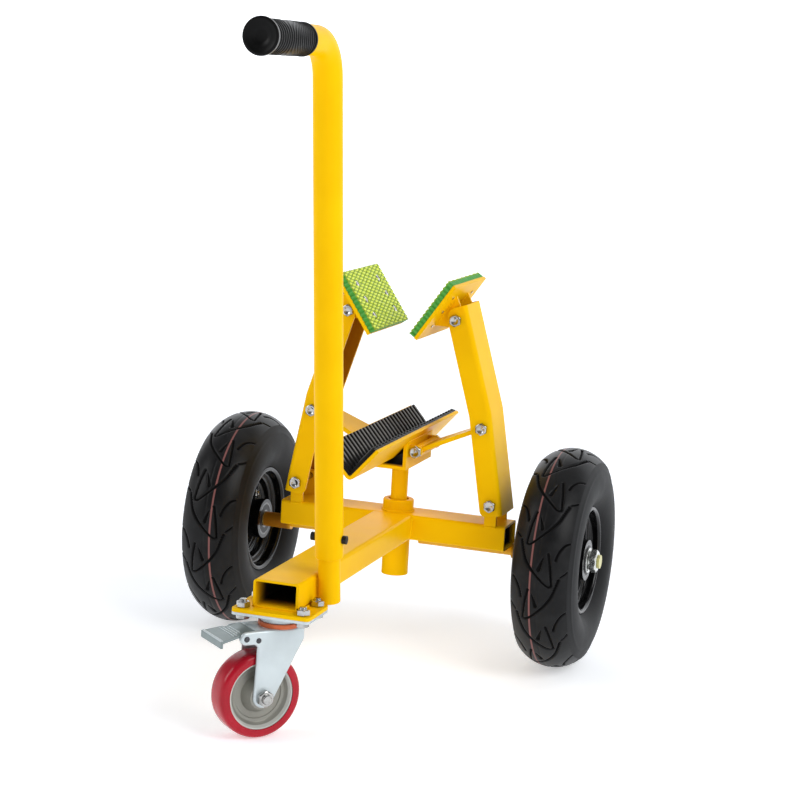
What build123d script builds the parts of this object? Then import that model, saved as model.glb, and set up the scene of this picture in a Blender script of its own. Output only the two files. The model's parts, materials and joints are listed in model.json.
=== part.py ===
from build123d import *
import os
from math import acos, atan2, cos, hypot, pi, radians, sin, tan

# Self-clamping dolly for carrying a panel on edge. The panel stands in a V shoe on a sprung post.
# Its weight pushes the shoe down, links pull two arms inward, and the pads on the arms grip the panel.
# Millimetres, +Z up, X across, the drawbar and caster reach towards -Y, the floor is at Z = 0.
# Heights and places are worked out about the post axis, and the export moves the whole to its own centre.

# Road wheels
tyre_diameter = 260.0
tyre_width = 77.0
tyre_wall = 9.0
tread_half_width = 32.5
tread_crown = 14.0
bead_width = 10.0
tube_rubber_sheet = 2.5
valve_diameter = 8.0
valve_bore = 3.0
valve_reach = 10.0
valve_show = 10.0
track = 408.0
rim_width = 54.0
rim_seat_diameter = 102.0
rim_flange_height = 12.5
rim_sheet = 2.5
hub_diameter = 48.0
hub_length = 56.0
bearing_diameter = 40.0
bearing_width = 12.0
rim_bolt_count = 4
rim_bolt_circle = 72.0
rim_bolt_diameter = 6.0
rim_bolt_flats = 10.0
rim_bolt_head = 4.0

# Axles: a bar under each half of the cross tube, thicker outside the tube's end
axle_setback = 16.0
axle_bar_diameter = 12.0
axle_bar_root = 24.0
axle_diameter = 18.0
bearing_seat_diameter = 17.0
axle_thread_diameter = 16.0
axle_thread_tip = 3.0
axle_washer_diameter = 30.0
axle_washer_sheet = 2.5
axle_nut_flats = 24.0
axle_nut_height = 10.0

# Cross tube and drawbar
tube_width = 50.0
tube_height = 30.0
tube_wall = 2.5
tube_corner = 4.0
cross_tube_length = 280.0
drawbar_reach = 402.5

# Sleeve on the cross tube, its fittings and the spring in it
sleeve_diameter = 32.0
sleeve_bore = 25.0
sleeve_drop = 48.0
sleeve_rise = 14.0
collar_diameter = 37.0
collar_edge = 2.0
cap_sheet = 4.0
bush_length = 25.0
bush_recess = 3.0
spring_wire = 2.2
spring_diameter = 19.0
spring_turns = 7

# Sliding post
post_diameter = 20.0
post_foot_sheet = 4.0
spring_rod_diameter = 6.0
spring_rod_show = 3.0

# Shoe
shoe_rise = 58.5
bracket_width = 44.0
bracket_length = 100.0
bracket_sheet = 4.0
valley_rise = 7.5
wing_slope = 49.0
wing_length = 50.0
shoe_sheet = 4.0
shoe_fold_radius = 2.0
shoe_length = 310.0
shoe_forward = 32.0
mat_base = 3.0
mat_rib_height = 2.5
mat_rib_width = 7.0
mat_rib_count = 24
mat_margin = 1.5
ear_sheet = 5.0
ear_radius = 7.5
ear_rise = 21.5
ear_spread = 68.0

# Arms: bolt places are measured from the pivot bolt, inward and upward
arm_pivot_reach = 121.5
arm_pivot_rise = 24.0
link_bolt_in = 16.0
link_bolt_up = 90.0
pad_bolt_in = 55.5
pad_bolt_up = 214.0
arm_width = 59.0
arm_sheet = 4.0
arm_flange = 26.0
arm_fold_radius = 5.0
arm_bend_radius = 45.0
arm_upper_lean = 16.8
arm_foot = 13.0
arm_head = 15.0
bolt_to_web = 12.5
bend_past_link_bolt = 17.0
arm_head_radius = 13.0
arm_foot_radius = 8.0
lug_radius = 7.2
lug_sheet = 5.0

# Links
link_sheet = 5.0
link_barrel_diameter = 14.0
link_taper_start = 12.0
link_taper_end = 22.0

# Pads
pad_tilt = 34.0
pad_height = 78.0
pad_length = 126.0
pad_rubber_sheet = 9.0
pad_plate_sheet = 4.0
pad_standoff = 17.0
pad_ear_sheet = 4.0
pad_ear_radius = 9.5
pad_ear_base = 44.0
pad_screw_diameter = 4.0
pad_screw_head_diameter = 8.0
pad_screw_head = 2.5
pad_screw_recess = 3.0
pad_screw_tip = 1.0
pad_screw_columns = 76.0
pad_screw_rows = 21.0

# Pivot bolts
bolt_diameter = 8.0
bolt_flats = 13.0
bolt_head = 5.3
bolt_nut = 6.5
bolt_tip = 2.5

# Handle
spigot_diameter = 23.5
spigot_length = 130.0
handle_setback = 63.6
handle_lean = 9.1
handle_diameter = 30.0
handle_lower_end = 51.0
handle_straight = 503.0
handle_bend_radius = 42.0
handle_bend_angle = 80.0
handle_neck = 35.0
grip_length = 107.0
grip_diameter = 33.0
grip_flange_diameter = 36.0
grip_flange = 4.0
grip_end_wall = 4.0
grip_end_hole = 12.0
grip_rib_count = 12
grip_rib_depth = 0.6
clamp_screw_rise = 20.0
clamp_screw_diameter = 6.0
clamp_screw_head_diameter = 9.0
clamp_screw_head = 4.5

# Caster
swivel_setback = 15.6
swivel_rest_turn = 227.4
caster_trail = 24.0
mount_plate_sheet = 4.0
top_plate_sheet = 3.0
plate_corner = 5.0
plate_bolt_clear = 8.0
plate_bolts_along = 42.0
plate_edge = 10.0
race_diameter = 40.0
race_depth = 7.0
seal_diameter = 45.0
seal_height = 4.4
seal_bore = 30.0
kingpin_diameter = 12.0
kingpin_nut_flats = 19.0
kingpin_nut = 8.0
caster_wheel_diameter = 92.0
caster_wheel_width = 30.0
caster_tread_depth = 10.0
caster_tread_edge = 5.0
caster_web_sheet = 8.0
caster_core_lip = 4.0
caster_core_inset = 1.0
caster_hub_diameter = 28.0
caster_hub_length = 34.0
caster_axle_diameter = 10.0
caster_axle_flats = 16.0
caster_axle_head = 6.5
caster_axle_tip = 3.0
fork_sheet = 3.0
fork_boss_radius = 11.5
fork_back = 20.0
fork_crown_front = 36.0
fork_arm_drop = 7.5
fork_back_drop = 12.0
fork_arm_radius = 7.0
fork_leg_front = 33.0
fork_throat_radius = 5.0
fork_fold_radius = 2.5
pedal_pin_reach = 46.5
pedal_pin_diameter = 6.0
pedal_pin_head = 1.5
pedal_pin_head_diameter = 10.0
pedal_sheet = 2.5
pedal_tip_reach = 77.5
pedal_tip_width = 49.5
pedal_lip = 7.0
pedal_slope = 10.5
pedal_rise = 6.5
pedal_to_crown = 2.0
pedal_cheek = 3.0
pedal_cheek_radius = 6.0

# Clearances
running_gap = 0.05
seat_gap = 0.1
side_gap = 0.5
end_gap = 0.3
open_pivot_gap = 0.6
ear_to_wall_gap = 1.0
handle_gap = 0.25
hub_to_axle_gap = 1.0

# Heights and places that follow from the sizes
axle_z = tyre_diameter / 2
axle_y = axle_setback
tube_bottom = axle_z + axle_bar_diameter / 2 + seat_gap
tube_top = tube_bottom + tube_height
tube_mid = tube_bottom + tube_height / 2
sleeve_bottom = tube_bottom - sleeve_drop
sleeve_top = tube_top + sleeve_rise
cap_top = sleeve_bottom + cap_sheet
bush_top = sleeve_top - bush_recess
bush_bottom = bush_top - bush_length
post_foot_top = bush_bottom - end_gap
post_foot_bottom = post_foot_top - post_foot_sheet
bracket_bottom = tube_top + shoe_rise
valley_z = bracket_bottom + valley_rise
link_pin = (bracket_width / 2 + ear_to_wall_gap + link_barrel_diameter / 2, bracket_bottom + ear_rise)
arm_pivot = (arm_pivot_reach, tube_top + arm_pivot_rise)
link_bolt = (arm_pivot[0] - link_bolt_in, arm_pivot[1] + link_bolt_up)
pad_bolt = (arm_pivot[0] - pad_bolt_in, arm_pivot[1] + pad_bolt_up)
arm_inside = arm_width / 2 - arm_sheet
caster_y = swivel_setback - drawbar_reach
caster_top = tube_bottom - mount_plate_sheet
race_bottom = caster_top - top_plate_sheet - race_depth
fork_top = race_bottom - end_gap - seal_height
fork_inside = caster_hub_length / 2 + side_gap
fork_outside = fork_inside + fork_sheet
plate_bolt_x = tube_width / 2 + plate_bolt_clear
plate_bolt_y = plate_bolts_along / 2


# Shared shapes
def rod_x(y, z, radius, left, right):
    """A round bar along X."""
    return Pos((left + right) / 2, y, z) * Rot(0, 90, 0) * Cylinder(radius, right - left)


def rod_y(x, z, radius, front, back):
    """A round bar along Y."""
    return Pos(x, (front + back) / 2, z) * Rot(90, 0, 0) * Cylinder(radius, back - front)


def rod_z(x, y, radius, bottom, top):
    """A round bar along Z."""
    return Pos(x, y, (bottom + top) / 2) * Cylinder(radius, top - bottom)


def prism_y(outline, front, back):
    """A flat outline drawn in X and Z, carried from the front to the back along Y."""
    return Pos(0, back, 0) * extrude(Plane.XZ * outline, back - front, dir=(0, -1, 0))


def rounded_outline(points, radii):
    """A closed outline with its own radius at each corner."""
    return make_face(FilletPolyline(*points, radius=radii, close=True))


def hexagon_y(x, z, flats, front, back):
    """A six-sided bar along Y."""
    outline = Pos(x, z) * RegularPolygon(flats / 2, 6, major_radius=False)
    return prism_y(outline, front, back)


def hexagon_z(x, y, flats, bottom, top):
    """A six-sided bar along Z."""
    return Pos(x, y, bottom) * extrude(RegularPolygon(flats / 2, 6, major_radius=False), top - bottom)


def bolt_and_nut_y(x, z, front, back):
    """A pivot bolt through front and back faces, with its head in front and its nut behind."""
    shank_end = back + bolt_nut + bolt_tip
    bolt = hexagon_y(x, z, bolt_flats, front - bolt_head, front)
    bolt += rod_y(x, z, bolt_diameter / 2, front, shank_end)
    nut = hexagon_y(x, z, bolt_flats, back, back + bolt_nut)
    nut -= rod_y(x, z, bolt_diameter / 2 + running_gap, front, shank_end)
    return [bolt, nut]


def bolt_and_nut_z(x, y, bottom, top):
    """A plate bolt with its head below and its nut above."""
    shank_end = top + bolt_nut + bolt_tip
    bolt = hexagon_z(x, y, bolt_flats, bottom - bolt_head, bottom)
    bolt += rod_z(x, y, bolt_diameter / 2, bottom, shank_end)
    nut = hexagon_z(x, y, bolt_flats, top, top + bolt_nut)
    nut -= rod_z(x, y, bolt_diameter / 2 + running_gap, bottom, shank_end)
    return [bolt, nut]


def moved(point, direction, distance):
    """The point that lies a distance along a direction, in the flat plane."""
    return (point[0] + direction[0] * distance, point[1] + direction[1] * distance)


def tangent_point(point, centre, radius, side):
    """Where the line from a point touches a circle, on the side given by +1 or -1."""
    away = atan2(point[1] - centre[1], point[0] - centre[0])
    swing = acos(radius / hypot(point[0] - centre[0], point[1] - centre[1]))
    angle = away + side * swing
    return (centre[0] + radius * cos(angle), centre[1] + radius * sin(angle))


def other_side(piece):
    """The same piece on the left."""
    return mirror(piece, about=Plane.YZ)


def group(solids):
    """Several loose solids kept together as one node."""
    return Compound([solid for item in solids for solid in item.solids()])


# Frame tubes
def tube_section():
    """The hollow rectangular section of the cross tube and the drawbar."""
    inside_width = tube_width - 2 * tube_wall
    inside_height = tube_height - 2 * tube_wall
    inside = RectangleRounded(inside_width, inside_height, tube_corner - tube_wall)
    return RectangleRounded(tube_width, tube_height, tube_corner) - inside


def cross_tube():
    tube = Pos(0, 0, tube_mid) * extrude(Plane.YZ * tube_section(), cross_tube_length / 2, both=True)
    return tube - rod_z(0, 0, sleeve_diameter / 2 + seat_gap, sleeve_bottom, sleeve_top)


def drawbar():
    return prism_y(Pos(0, tube_mid) * tube_section(), -drawbar_reach, -tube_width / 2)


# Sleeve and what is in it
def post_sleeve():
    outside = rod_z(0, 0, sleeve_diameter / 2, sleeve_bottom, sleeve_top)
    return outside - rod_z(0, 0, sleeve_bore / 2, sleeve_bottom, sleeve_top)


def sleeve_collar():
    ring = rod_z(0, 0, collar_diameter / 2, tube_top, sleeve_top)
    ring = fillet(ring.edges().group_by(Axis.Z)[-1], collar_edge)
    return ring - rod_z(0, 0, sleeve_diameter / 2 + seat_gap, tube_top, sleeve_top)


def sleeve_cap():
    disc = rod_z(0, 0, sleeve_bore / 2 - running_gap, sleeve_bottom, cap_top)
    return disc - rod_z(0, 0, spring_rod_diameter / 2 + end_gap, sleeve_bottom, cap_top)


def guide_bush():
    ring = rod_z(0, 0, sleeve_bore / 2 - running_gap, bush_bottom, bush_top)
    return ring - rod_z(0, 0, post_diameter / 2 + running_gap, bush_bottom, bush_top)


def spring_point(turn, low, high, radius):
    """A point of the coil and its direction, a given number of turns up from its lower end."""
    rise = (high - low) / spring_turns
    angle = 2 * pi * turn
    point = Vector(radius * cos(angle), radius * sin(angle), low + rise * turn)
    direction = Vector(-radius * sin(angle), radius * cos(angle), rise / (2 * pi))
    return point, direction.normalized()


def biarc(start, start_direction, end, end_direction):
    """Two arcs that leave one point and reach another in the given directions."""
    span = end - start
    both = start_direction + end_direction
    bend = 1 - start_direction.dot(end_direction)
    root = (span.dot(both) ** 2 + 2 * bend * span.dot(span)) ** 0.5
    handle = (root - span.dot(both)) / (2 * bend)
    first_corner = start + start_direction * handle
    last_corner = end - end_direction * handle
    middle = (first_corner + last_corner) / 2
    first = TangentArc(start, middle, tangent=start_direction)
    return [first, TangentArc(middle, end, tangent=last_corner - first_corner)]


def return_spring():
    radius = (spring_diameter - spring_wire) / 2
    low = cap_top + spring_wire / 2 + seat_gap
    high = post_foot_bottom - spring_wire / 2 - end_gap
    quarters = [spring_point(step / 4, low, high, radius) for step in range(4 * spring_turns + 1)]
    arcs = []
    for (start, leaving), (end, reaching) in zip(quarters, quarters[1:]):
        arcs += biarc(start, leaving, end, reaching)
    path = Wire(arcs)
    points = [path @ (step / (24 * spring_turns)) for step in range(24 * spring_turns + 1)]
    apart = [(a - b).length for i, a in enumerate(points) for b in points[i + 12:]]
    print("return spring, least gap to itself:", round(min(apart) - spring_wire, 2), "mm")
    section = Plane(origin=quarters[0][0], z_dir=quarters[0][1]) * Circle(spring_wire / 2)
    return sweep(section, path=path)


# Lugs that carry the arms
def arm_lugs():
    """Four lugs at the sides of the cross tube, shaped below to its rounded edges."""
    foot = tube_top - tube_corner / 2
    height = arm_pivot[1] - foot
    outline = Pos(arm_pivot[0], foot + height / 2) * Rectangle(2 * lug_radius, height)
    outline += Pos(*arm_pivot) * Circle(lug_radius)
    outline -= Pos(*arm_pivot) * Circle(bolt_diameter / 2 + running_gap)
    outer = arm_inside - side_gap
    tube_outside = Plane.YZ * RectangleRounded(tube_width, tube_height, tube_corner)
    tube = Pos(0, 0, tube_mid) * extrude(tube_outside, cross_tube_length / 2, both=True)
    back = prism_y(outline, outer - lug_sheet, outer) - tube
    front = prism_y(outline, -outer, lug_sheet - outer) - tube
    return group([front, back, other_side(front), other_side(back)])


# Axle
axle_shoulder = track / 2 - hub_length / 2 - end_gap
washer_inside = track / 2 + hub_length / 2 + end_gap
washer_outside = washer_inside + axle_washer_sheet
nut_outside = washer_outside + axle_nut_height
axle_end = nut_outside + axle_thread_tip


def axle():
    """Both axles: the bar under the tube, the shoulder, the bearing seat and the thread."""
    bar = rod_x(axle_y, axle_z, axle_bar_diameter / 2, axle_bar_root, axle_shoulder)
    bar += rod_x(axle_y, axle_z, axle_diameter / 2, cross_tube_length / 2 + side_gap, axle_shoulder)
    bar += rod_x(axle_y, axle_z, bearing_seat_diameter / 2, axle_shoulder, washer_inside)
    bar += rod_x(axle_y, axle_z, axle_thread_diameter / 2, washer_inside, axle_end)
    return group([bar, other_side(bar)])


def axle_fasteners():
    thread = rod_x(axle_y, axle_z, axle_thread_diameter / 2 + running_gap, washer_inside, axle_end)
    washer = rod_x(axle_y, axle_z, axle_washer_diameter / 2, washer_inside, washer_outside) - thread
    hexagon = Plane.YZ * RegularPolygon(axle_nut_flats / 2, 6, major_radius=False)
    nut = Pos(washer_outside, axle_y, axle_z) * extrude(hexagon, axle_nut_height)
    nut -= thread
    return group([washer, nut, other_side(washer), other_side(nut)])


# Road wheel, drawn about the X axis with its outer face towards +X
rim_seat = rim_seat_diameter / 2
rim_flange = rim_seat + rim_flange_height
rim_inside = rim_width / 2
tyre_base = rim_seat + seat_gap
valve_tip = valve_show + rim_sheet - rim_seat
place_wheel = Pos(track / 2, axle_y, axle_z)


def spin_x(outline):
    """A ring about the X axis from an outline drawn as X and radius."""
    return revolve(outline, Axis.X)


def tyre_face(inset, bead, base):
    """The tyre's section drawn in by an inset from its outside, closed across at the base radius."""
    crown = tyre_diameter / 2 - inset
    foot = (bead, base)
    heel = (bead, rim_flange + inset / 4)
    shoulder = (tread_half_width - inset, crown - tread_crown)
    bulge = (tyre_width / 2 - inset, (heel[1] + shoulder[1]) / 2)
    side = Line(foot, heel) + TangentArc(bulge, heel, tangent=(0, -1))
    side += TangentArc(bulge, shoulder, tangent=(0, 1))
    top = ThreePointArc(shoulder, (0, crown), (-shoulder[0], shoulder[1]))
    base = Line((-foot[0], foot[1]), foot)
    return make_face(side + top + mirror(side, about=Plane.YZ) + base)


def tyre():
    outer = tyre_face(0, rim_inside - seat_gap, tyre_base)
    inner = tyre_face(tyre_wall, rim_inside - seat_gap - bead_width, tyre_base)
    return place_wheel * spin_x(outer - inner)


def inner_tube():
    """The hollow tube in the tyre, with a valve stem through the rim."""
    inset = tyre_wall + end_gap
    bead = rim_inside - seat_gap - bead_width - end_gap
    outer = tyre_face(inset, bead, tyre_base)
    inner = tyre_face(inset + tube_rubber_sheet, bead - tube_rubber_sheet, tyre_base + tube_rubber_sheet)
    tube = spin_x(outer - inner)
    stem_root = -tyre_base - tube_rubber_sheet
    tube += rod_y(valve_reach, 0, valve_diameter / 2, stem_root, valve_tip)
    return place_wheel * (tube - rod_y(valve_reach, 0, valve_bore / 2, stem_root, valve_tip))


def rim_half():
    """One pressed half: a disc at the middle of the wheel, the bead seat and the flange."""
    hub_hole = hub_diameter / 2 + seat_gap
    seat_inside = rim_seat - rim_sheet
    flange_outside = rim_inside + rim_sheet
    points = [
        (seat_gap, hub_hole),
        (seat_gap, rim_seat),
        (rim_inside, rim_seat),
        (rim_inside, rim_flange),
        (flange_outside, rim_flange),
        (flange_outside, seat_inside),
        (rim_sheet + seat_gap, seat_inside),
        (rim_sheet + seat_gap, hub_hole),
    ]
    edge = rim_sheet / 3
    disc = spin_x(rounded_outline(points, [0, edge, 0, edge, edge, edge, edge, 0]))
    for turn in range(rim_bolt_count):
        angle = 2 * pi * (turn + 0.5) / rim_bolt_count
        bolt_y = rim_bolt_circle / 2 * cos(angle)
        bolt_z = rim_bolt_circle / 2 * sin(angle)
        disc -= rod_x(bolt_y, bolt_z, rim_bolt_diameter / 2 + running_gap, 0, rim_width)
    return disc


def rim_outer_half():
    valve_hole = rod_y(valve_reach, 0, valve_diameter / 2 + end_gap, -tyre_base, valve_tip)
    return place_wheel * (rim_half() - valve_hole)


def hub():
    tube = rod_x(0, 0, hub_diameter / 2, -hub_length / 2, hub_length / 2)
    spacer = hub_length / 2 - bearing_width
    tube -= rod_x(0, 0, bearing_diameter / 2, spacer, hub_length / 2)
    tube -= rod_x(0, 0, bearing_diameter / 2, -hub_length / 2, -spacer)
    return place_wheel * (tube - rod_x(0, 0, axle_diameter / 2 + hub_to_axle_gap, -spacer, spacer))


def wheel_bearings():
    outer = hub_length / 2
    ring = rod_x(0, 0, bearing_diameter / 2 - running_gap, outer - bearing_width, outer)
    ring -= rod_x(0, 0, bearing_seat_diameter / 2 + running_gap, outer - bearing_width, outer)
    return place_wheel * group([ring, other_side(ring)])


def rim_bolts():
    plate = rim_sheet + seat_gap
    hexagon = Plane.YZ * RegularPolygon(rim_bolt_flats / 2, 6, major_radius=False)
    pieces = []
    for turn in range(rim_bolt_count):
        angle = 2 * pi * (turn + 0.5) / rim_bolt_count
        at = Pos(0, rim_bolt_circle / 2 * cos(angle), rim_bolt_circle / 2 * sin(angle))
        shank_end = -plate - rim_bolt_head - bolt_tip
        bolt = Pos(plate, 0, 0) * extrude(hexagon, rim_bolt_head)
        bolt += rod_x(0, 0, rim_bolt_diameter / 2, shank_end, plate)
        nut = Pos(-plate - rim_bolt_head, 0, 0) * extrude(hexagon, rim_bolt_head)
        nut -= rod_x(0, 0, rim_bolt_diameter / 2 + running_gap, shank_end, plate)
        pieces += [at * bolt, at * nut]
    return place_wheel * group(pieces)


# Handle, drawn along its own leaning axis from the bottom of the drawbar
handle_lean_angle = radians(handle_lean)
handle_plane = Plane(
    origin=(tube_width / 2 + seat_gap + spigot_diameter / 2, handle_setback - drawbar_reach, tube_bottom),
    x_dir=(1, 0, 0),
    z_dir=(0, -sin(handle_lean_angle), cos(handle_lean_angle)),
)
handle_bore = spigot_diameter / 2 + handle_gap
bend_turn = radians(handle_bend_angle)
bend_leg = handle_bend_radius * tan(bend_turn / 2)
bend_corner = handle_lower_end + handle_straight + bend_leg
grip_run = bend_leg + handle_neck + grip_length - grip_end_wall
handle_path = FilletPolyline(
    (0, 0, handle_lower_end),
    (0, 0, bend_corner),
    (0, -grip_run * sin(bend_turn), bend_corner + grip_run * cos(bend_turn)),
    radius=handle_bend_radius,
)


def handle_spigot():
    return handle_plane * rod_z(0, 0, spigot_diameter / 2, 0, spigot_length)


def handle_tube():
    section = Pos(0, 0, handle_lower_end) * (Circle(handle_diameter / 2) - Circle(handle_bore))
    tube = sweep(section, path=handle_path)
    reach = handle_diameter
    height = handle_lower_end + clamp_screw_rise
    tube -= rod_x(0, height, clamp_screw_diameter / 2 + running_gap, -reach, reach)
    return handle_plane * tube


def handle_grip():
    """The grip's section as length from its open end and radius, turned about the tube's end."""
    bore = handle_diameter / 2 + running_gap
    body = grip_diameter / 2
    rim = grip_flange_diameter / 2
    rib_pitch = (grip_length - 2 * grip_flange) / grip_rib_count
    points = [(0, bore), (0, body), (grip_flange, body)]
    for rib in range(grip_rib_count):
        start = grip_flange + rib * rib_pitch
        points += [(start, body - grip_rib_depth), (start + rib_pitch / 2, body - grip_rib_depth)]
        points += [(start + rib_pitch / 2, body), (start + rib_pitch, body)]
    points += [(grip_length - grip_flange, rim), (grip_length, rim), (grip_length, grip_end_hole / 2)]
    points += [(grip_length - grip_end_wall + seat_gap, grip_end_hole / 2)]
    points += [(grip_length - grip_end_wall + seat_gap, bore)]
    ring = revolve(make_face(Polyline(*points, close=True)), Axis.X)
    end = handle_path @ 1
    direction = handle_path % 1
    start = end - direction * (grip_length - grip_end_wall)
    return handle_plane * Plane(origin=start, x_dir=direction, z_dir=(1, 0, 0)) * ring


def handle_clamp_screws():
    height = handle_lower_end + clamp_screw_rise
    tip = spigot_diameter / 2 + running_gap
    seat = handle_diameter / 2 + seat_gap
    screw = rod_x(0, height, clamp_screw_diameter / 2, tip, seat)
    screw += rod_x(0, height, clamp_screw_head_diameter / 2, seat, seat + clamp_screw_head)
    return handle_plane * group([screw, other_side(screw)])


# Caster plates under the drawbar
plate_bolt_lines = (caster_y - plate_bolt_y, caster_y + plate_bolt_y)
plate_bolt_places = [(x, y) for x in (-plate_bolt_x, plate_bolt_x) for y in plate_bolt_lines]


def caster_plate(bottom, top):
    """A rounded plate with the four bolt holes."""
    outline = RectangleRounded(2 * (plate_bolt_x + plate_edge), 2 * (plate_bolt_y + plate_edge), plate_corner)
    plate = Pos(0, caster_y, bottom) * extrude(outline, top - bottom)
    for x, y in plate_bolt_places:
        plate -= rod_z(x, y, bolt_diameter / 2 + running_gap, bottom, top)
    return plate


def caster_top_plate():
    plate_bottom = caster_top - top_plate_sheet
    plate = caster_plate(plate_bottom, caster_top)
    plate += rod_z(0, caster_y, race_diameter / 2, race_bottom, plate_bottom)
    return plate - rod_z(0, caster_y, kingpin_diameter / 2 + running_gap, race_bottom, caster_top)


def caster_plate_fasteners():
    pieces = []
    for x, y in plate_bolt_places:
        pieces += bolt_and_nut_z(x, y, caster_top - top_plate_sheet, tube_bottom)
    return group(pieces)


def caster_kingpin():
    nut_top = fork_top - fork_sheet - end_gap
    pin = hexagon_z(0, caster_y, kingpin_nut_flats, nut_top - kingpin_nut, nut_top)
    return pin + rod_z(0, caster_y, kingpin_diameter / 2, nut_top, caster_top)


# Turning part of the caster, drawn about the swivel axis with its trail along +X
place_caster = Pos(0, caster_y, 0) * Rot(0, 0, swivel_rest_turn)
caster_axle_z = caster_wheel_diameter / 2
pedal_pin_z = fork_top - fork_arm_drop
place_caster_wheel = place_caster * Pos(caster_trail, 0, caster_axle_z) * Rot(0, 0, 90)


def fork_side_outline():
    """One side of the fork: the crown, the arm towards the pedal and the leg down to the axle."""
    boss = (caster_trail, caster_axle_z)
    pin = (pedal_pin_reach, pedal_pin_z)
    crown_back = (-fork_back, fork_top)
    crown_front = (fork_crown_front, fork_top)
    arm_below = (pedal_pin_reach, pedal_pin_z - fork_arm_radius)
    throat = (fork_leg_front, pedal_pin_z - fork_arm_radius)
    back_low = (-fork_back, fork_top - fork_back_drop)
    points = [
        crown_back,
        crown_front,
        tangent_point(crown_front, pin, fork_arm_radius, -1),
        arm_below,
        throat,
        tangent_point(throat, boss, fork_boss_radius, -1),
        tangent_point(back_low, boss, fork_boss_radius, 1),
        back_low,
    ]
    outline = rounded_outline(points, [0, 0, 0, 0, fork_throat_radius, 0, 0, fork_throat_radius])
    outline += Pos(*pin) * Circle(fork_arm_radius)
    outline += Pos(*boss) * Circle(fork_boss_radius)
    outline -= Pos(*pin) * Circle(pedal_pin_diameter / 2 + running_gap)
    return outline - Pos(*boss) * Circle(caster_axle_diameter / 2 + running_gap)


def caster_fork():
    outline = fork_side_outline()
    crown_length = fork_back + fork_crown_front
    crown_middle = (fork_crown_front - fork_back) / 2
    fork = Pos(crown_middle, 0, fork_top - fork_sheet / 2) * Box(crown_length, 2 * fork_outside, fork_sheet)
    fork += prism_y(outline, fork_inside, fork_outside)
    fork += prism_y(outline, -fork_outside, -fork_inside)
    top_edges = fork.edges().filter_by(Axis.X).group_by(Axis.Z)[-1]
    fork = fillet(top_edges, fork_fold_radius)
    fork -= rod_z(0, 0, kingpin_diameter / 2 + running_gap, fork_top - fork_sheet, fork_top)
    return place_caster * fork


def swivel_seal():
    ring = rod_z(0, 0, seal_diameter / 2, fork_top, fork_top + seal_height)
    return place_caster * (ring - rod_z(0, 0, seal_bore / 2, fork_top, fork_top + seal_height))


def caster_axle():
    head_end = fork_outside + caster_axle_head
    shank_end = head_end + caster_axle_tip
    radius = caster_axle_diameter / 2
    bolt = hexagon_y(0, caster_axle_z, caster_axle_flats, -head_end, -fork_outside)
    bolt += rod_y(0, caster_axle_z, radius, -fork_outside, shank_end)
    nut = hexagon_y(0, caster_axle_z, caster_axle_flats, fork_outside, head_end)
    nut -= rod_y(0, caster_axle_z, radius + running_gap, -fork_outside, shank_end)
    return place_caster * Pos(caster_trail, 0, 0) * group([bolt, nut])


def caster_tread():
    inner = caster_wheel_diameter / 2 - caster_tread_depth
    outer = caster_wheel_diameter / 2
    half = caster_wheel_width / 2
    points = [(-half, inner), (-half, outer), (half, outer), (half, inner)]
    return place_caster_wheel * spin_x(rounded_outline(points, [0, caster_tread_edge, caster_tread_edge, 0]))


def caster_core():
    """Rim lip, sloping web and hub of the wheel's core."""
    outer = caster_wheel_diameter / 2 - caster_tread_depth - running_gap
    lip = outer - caster_core_lip
    bore = caster_axle_diameter / 2 + running_gap
    hub_radius = caster_hub_diameter / 2
    half_hub = caster_hub_length / 2
    half_rim = caster_wheel_width / 2 - caster_core_inset
    half_web = caster_web_sheet / 2
    right = [(half_hub, bore), (half_hub, hub_radius), (half_web, hub_radius + caster_core_lip)]
    right += [(half_web, lip - caster_core_lip), (half_rim, lip), (half_rim, outer)]
    left = [(-x, radius) for x, radius in reversed(right)]
    return place_caster_wheel * spin_x(make_face(Polyline(*right, *left, close=True)))


# Brake pedal and its pin
def brake_pedal():
    slope = tan(radians(pedal_slope))
    drop = pedal_sheet / cos(radians(pedal_slope))
    back = fork_crown_front + pedal_to_crown
    neck_end = pedal_pin_reach + fork_arm_radius + pedal_to_crown
    sheet_z = pedal_pin_z + pedal_rise

    def top_at(x):
        return sheet_z - (x - pedal_pin_reach) * slope

    neck_half = fork_inside - side_gap
    ends = [(back, top_at(back)), (pedal_tip_reach, top_at(pedal_tip_reach))]
    ends += [(pedal_tip_reach, top_at(pedal_tip_reach) - pedal_lip)]
    ends += [(pedal_tip_reach - pedal_sheet, top_at(pedal_tip_reach) - pedal_lip)]
    ends += [(pedal_tip_reach - pedal_sheet, top_at(pedal_tip_reach - pedal_sheet) - drop)]
    ends += [(back, top_at(back) - drop)]
    tip_half = pedal_tip_width / 2
    half = [(back, neck_half), (neck_end, neck_half), (neck_end, fork_outside), (pedal_tip_reach, tip_half)]
    plan = Polygon(*half, *[(x, -y) for x, y in reversed(half)], align=None)
    pedal = prism_y(Polygon(*ends, align=None), -tip_half, tip_half)
    pedal &= extrude(plan, 2 * fork_top, both=True)
    cheek_left = pedal_pin_reach - pedal_cheek_radius
    cheek_right = pedal_pin_reach + pedal_cheek_radius
    cheek = Polygon(
        (cheek_left, pedal_pin_z),
        (cheek_right, pedal_pin_z),
        (cheek_right, top_at(cheek_right) - drop / 2),
        (cheek_left, top_at(cheek_left) - drop / 2),
        align=None,
    )
    cheek += Pos(pedal_pin_reach, pedal_pin_z) * Circle(pedal_cheek_radius)
    cheek -= Pos(pedal_pin_reach, pedal_pin_z) * Circle(pedal_pin_diameter / 2 + running_gap)
    pedal += prism_y(cheek, neck_half - pedal_cheek, neck_half)
    pedal += prism_y(cheek, -neck_half, pedal_cheek - neck_half)
    return place_caster * pedal


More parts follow.
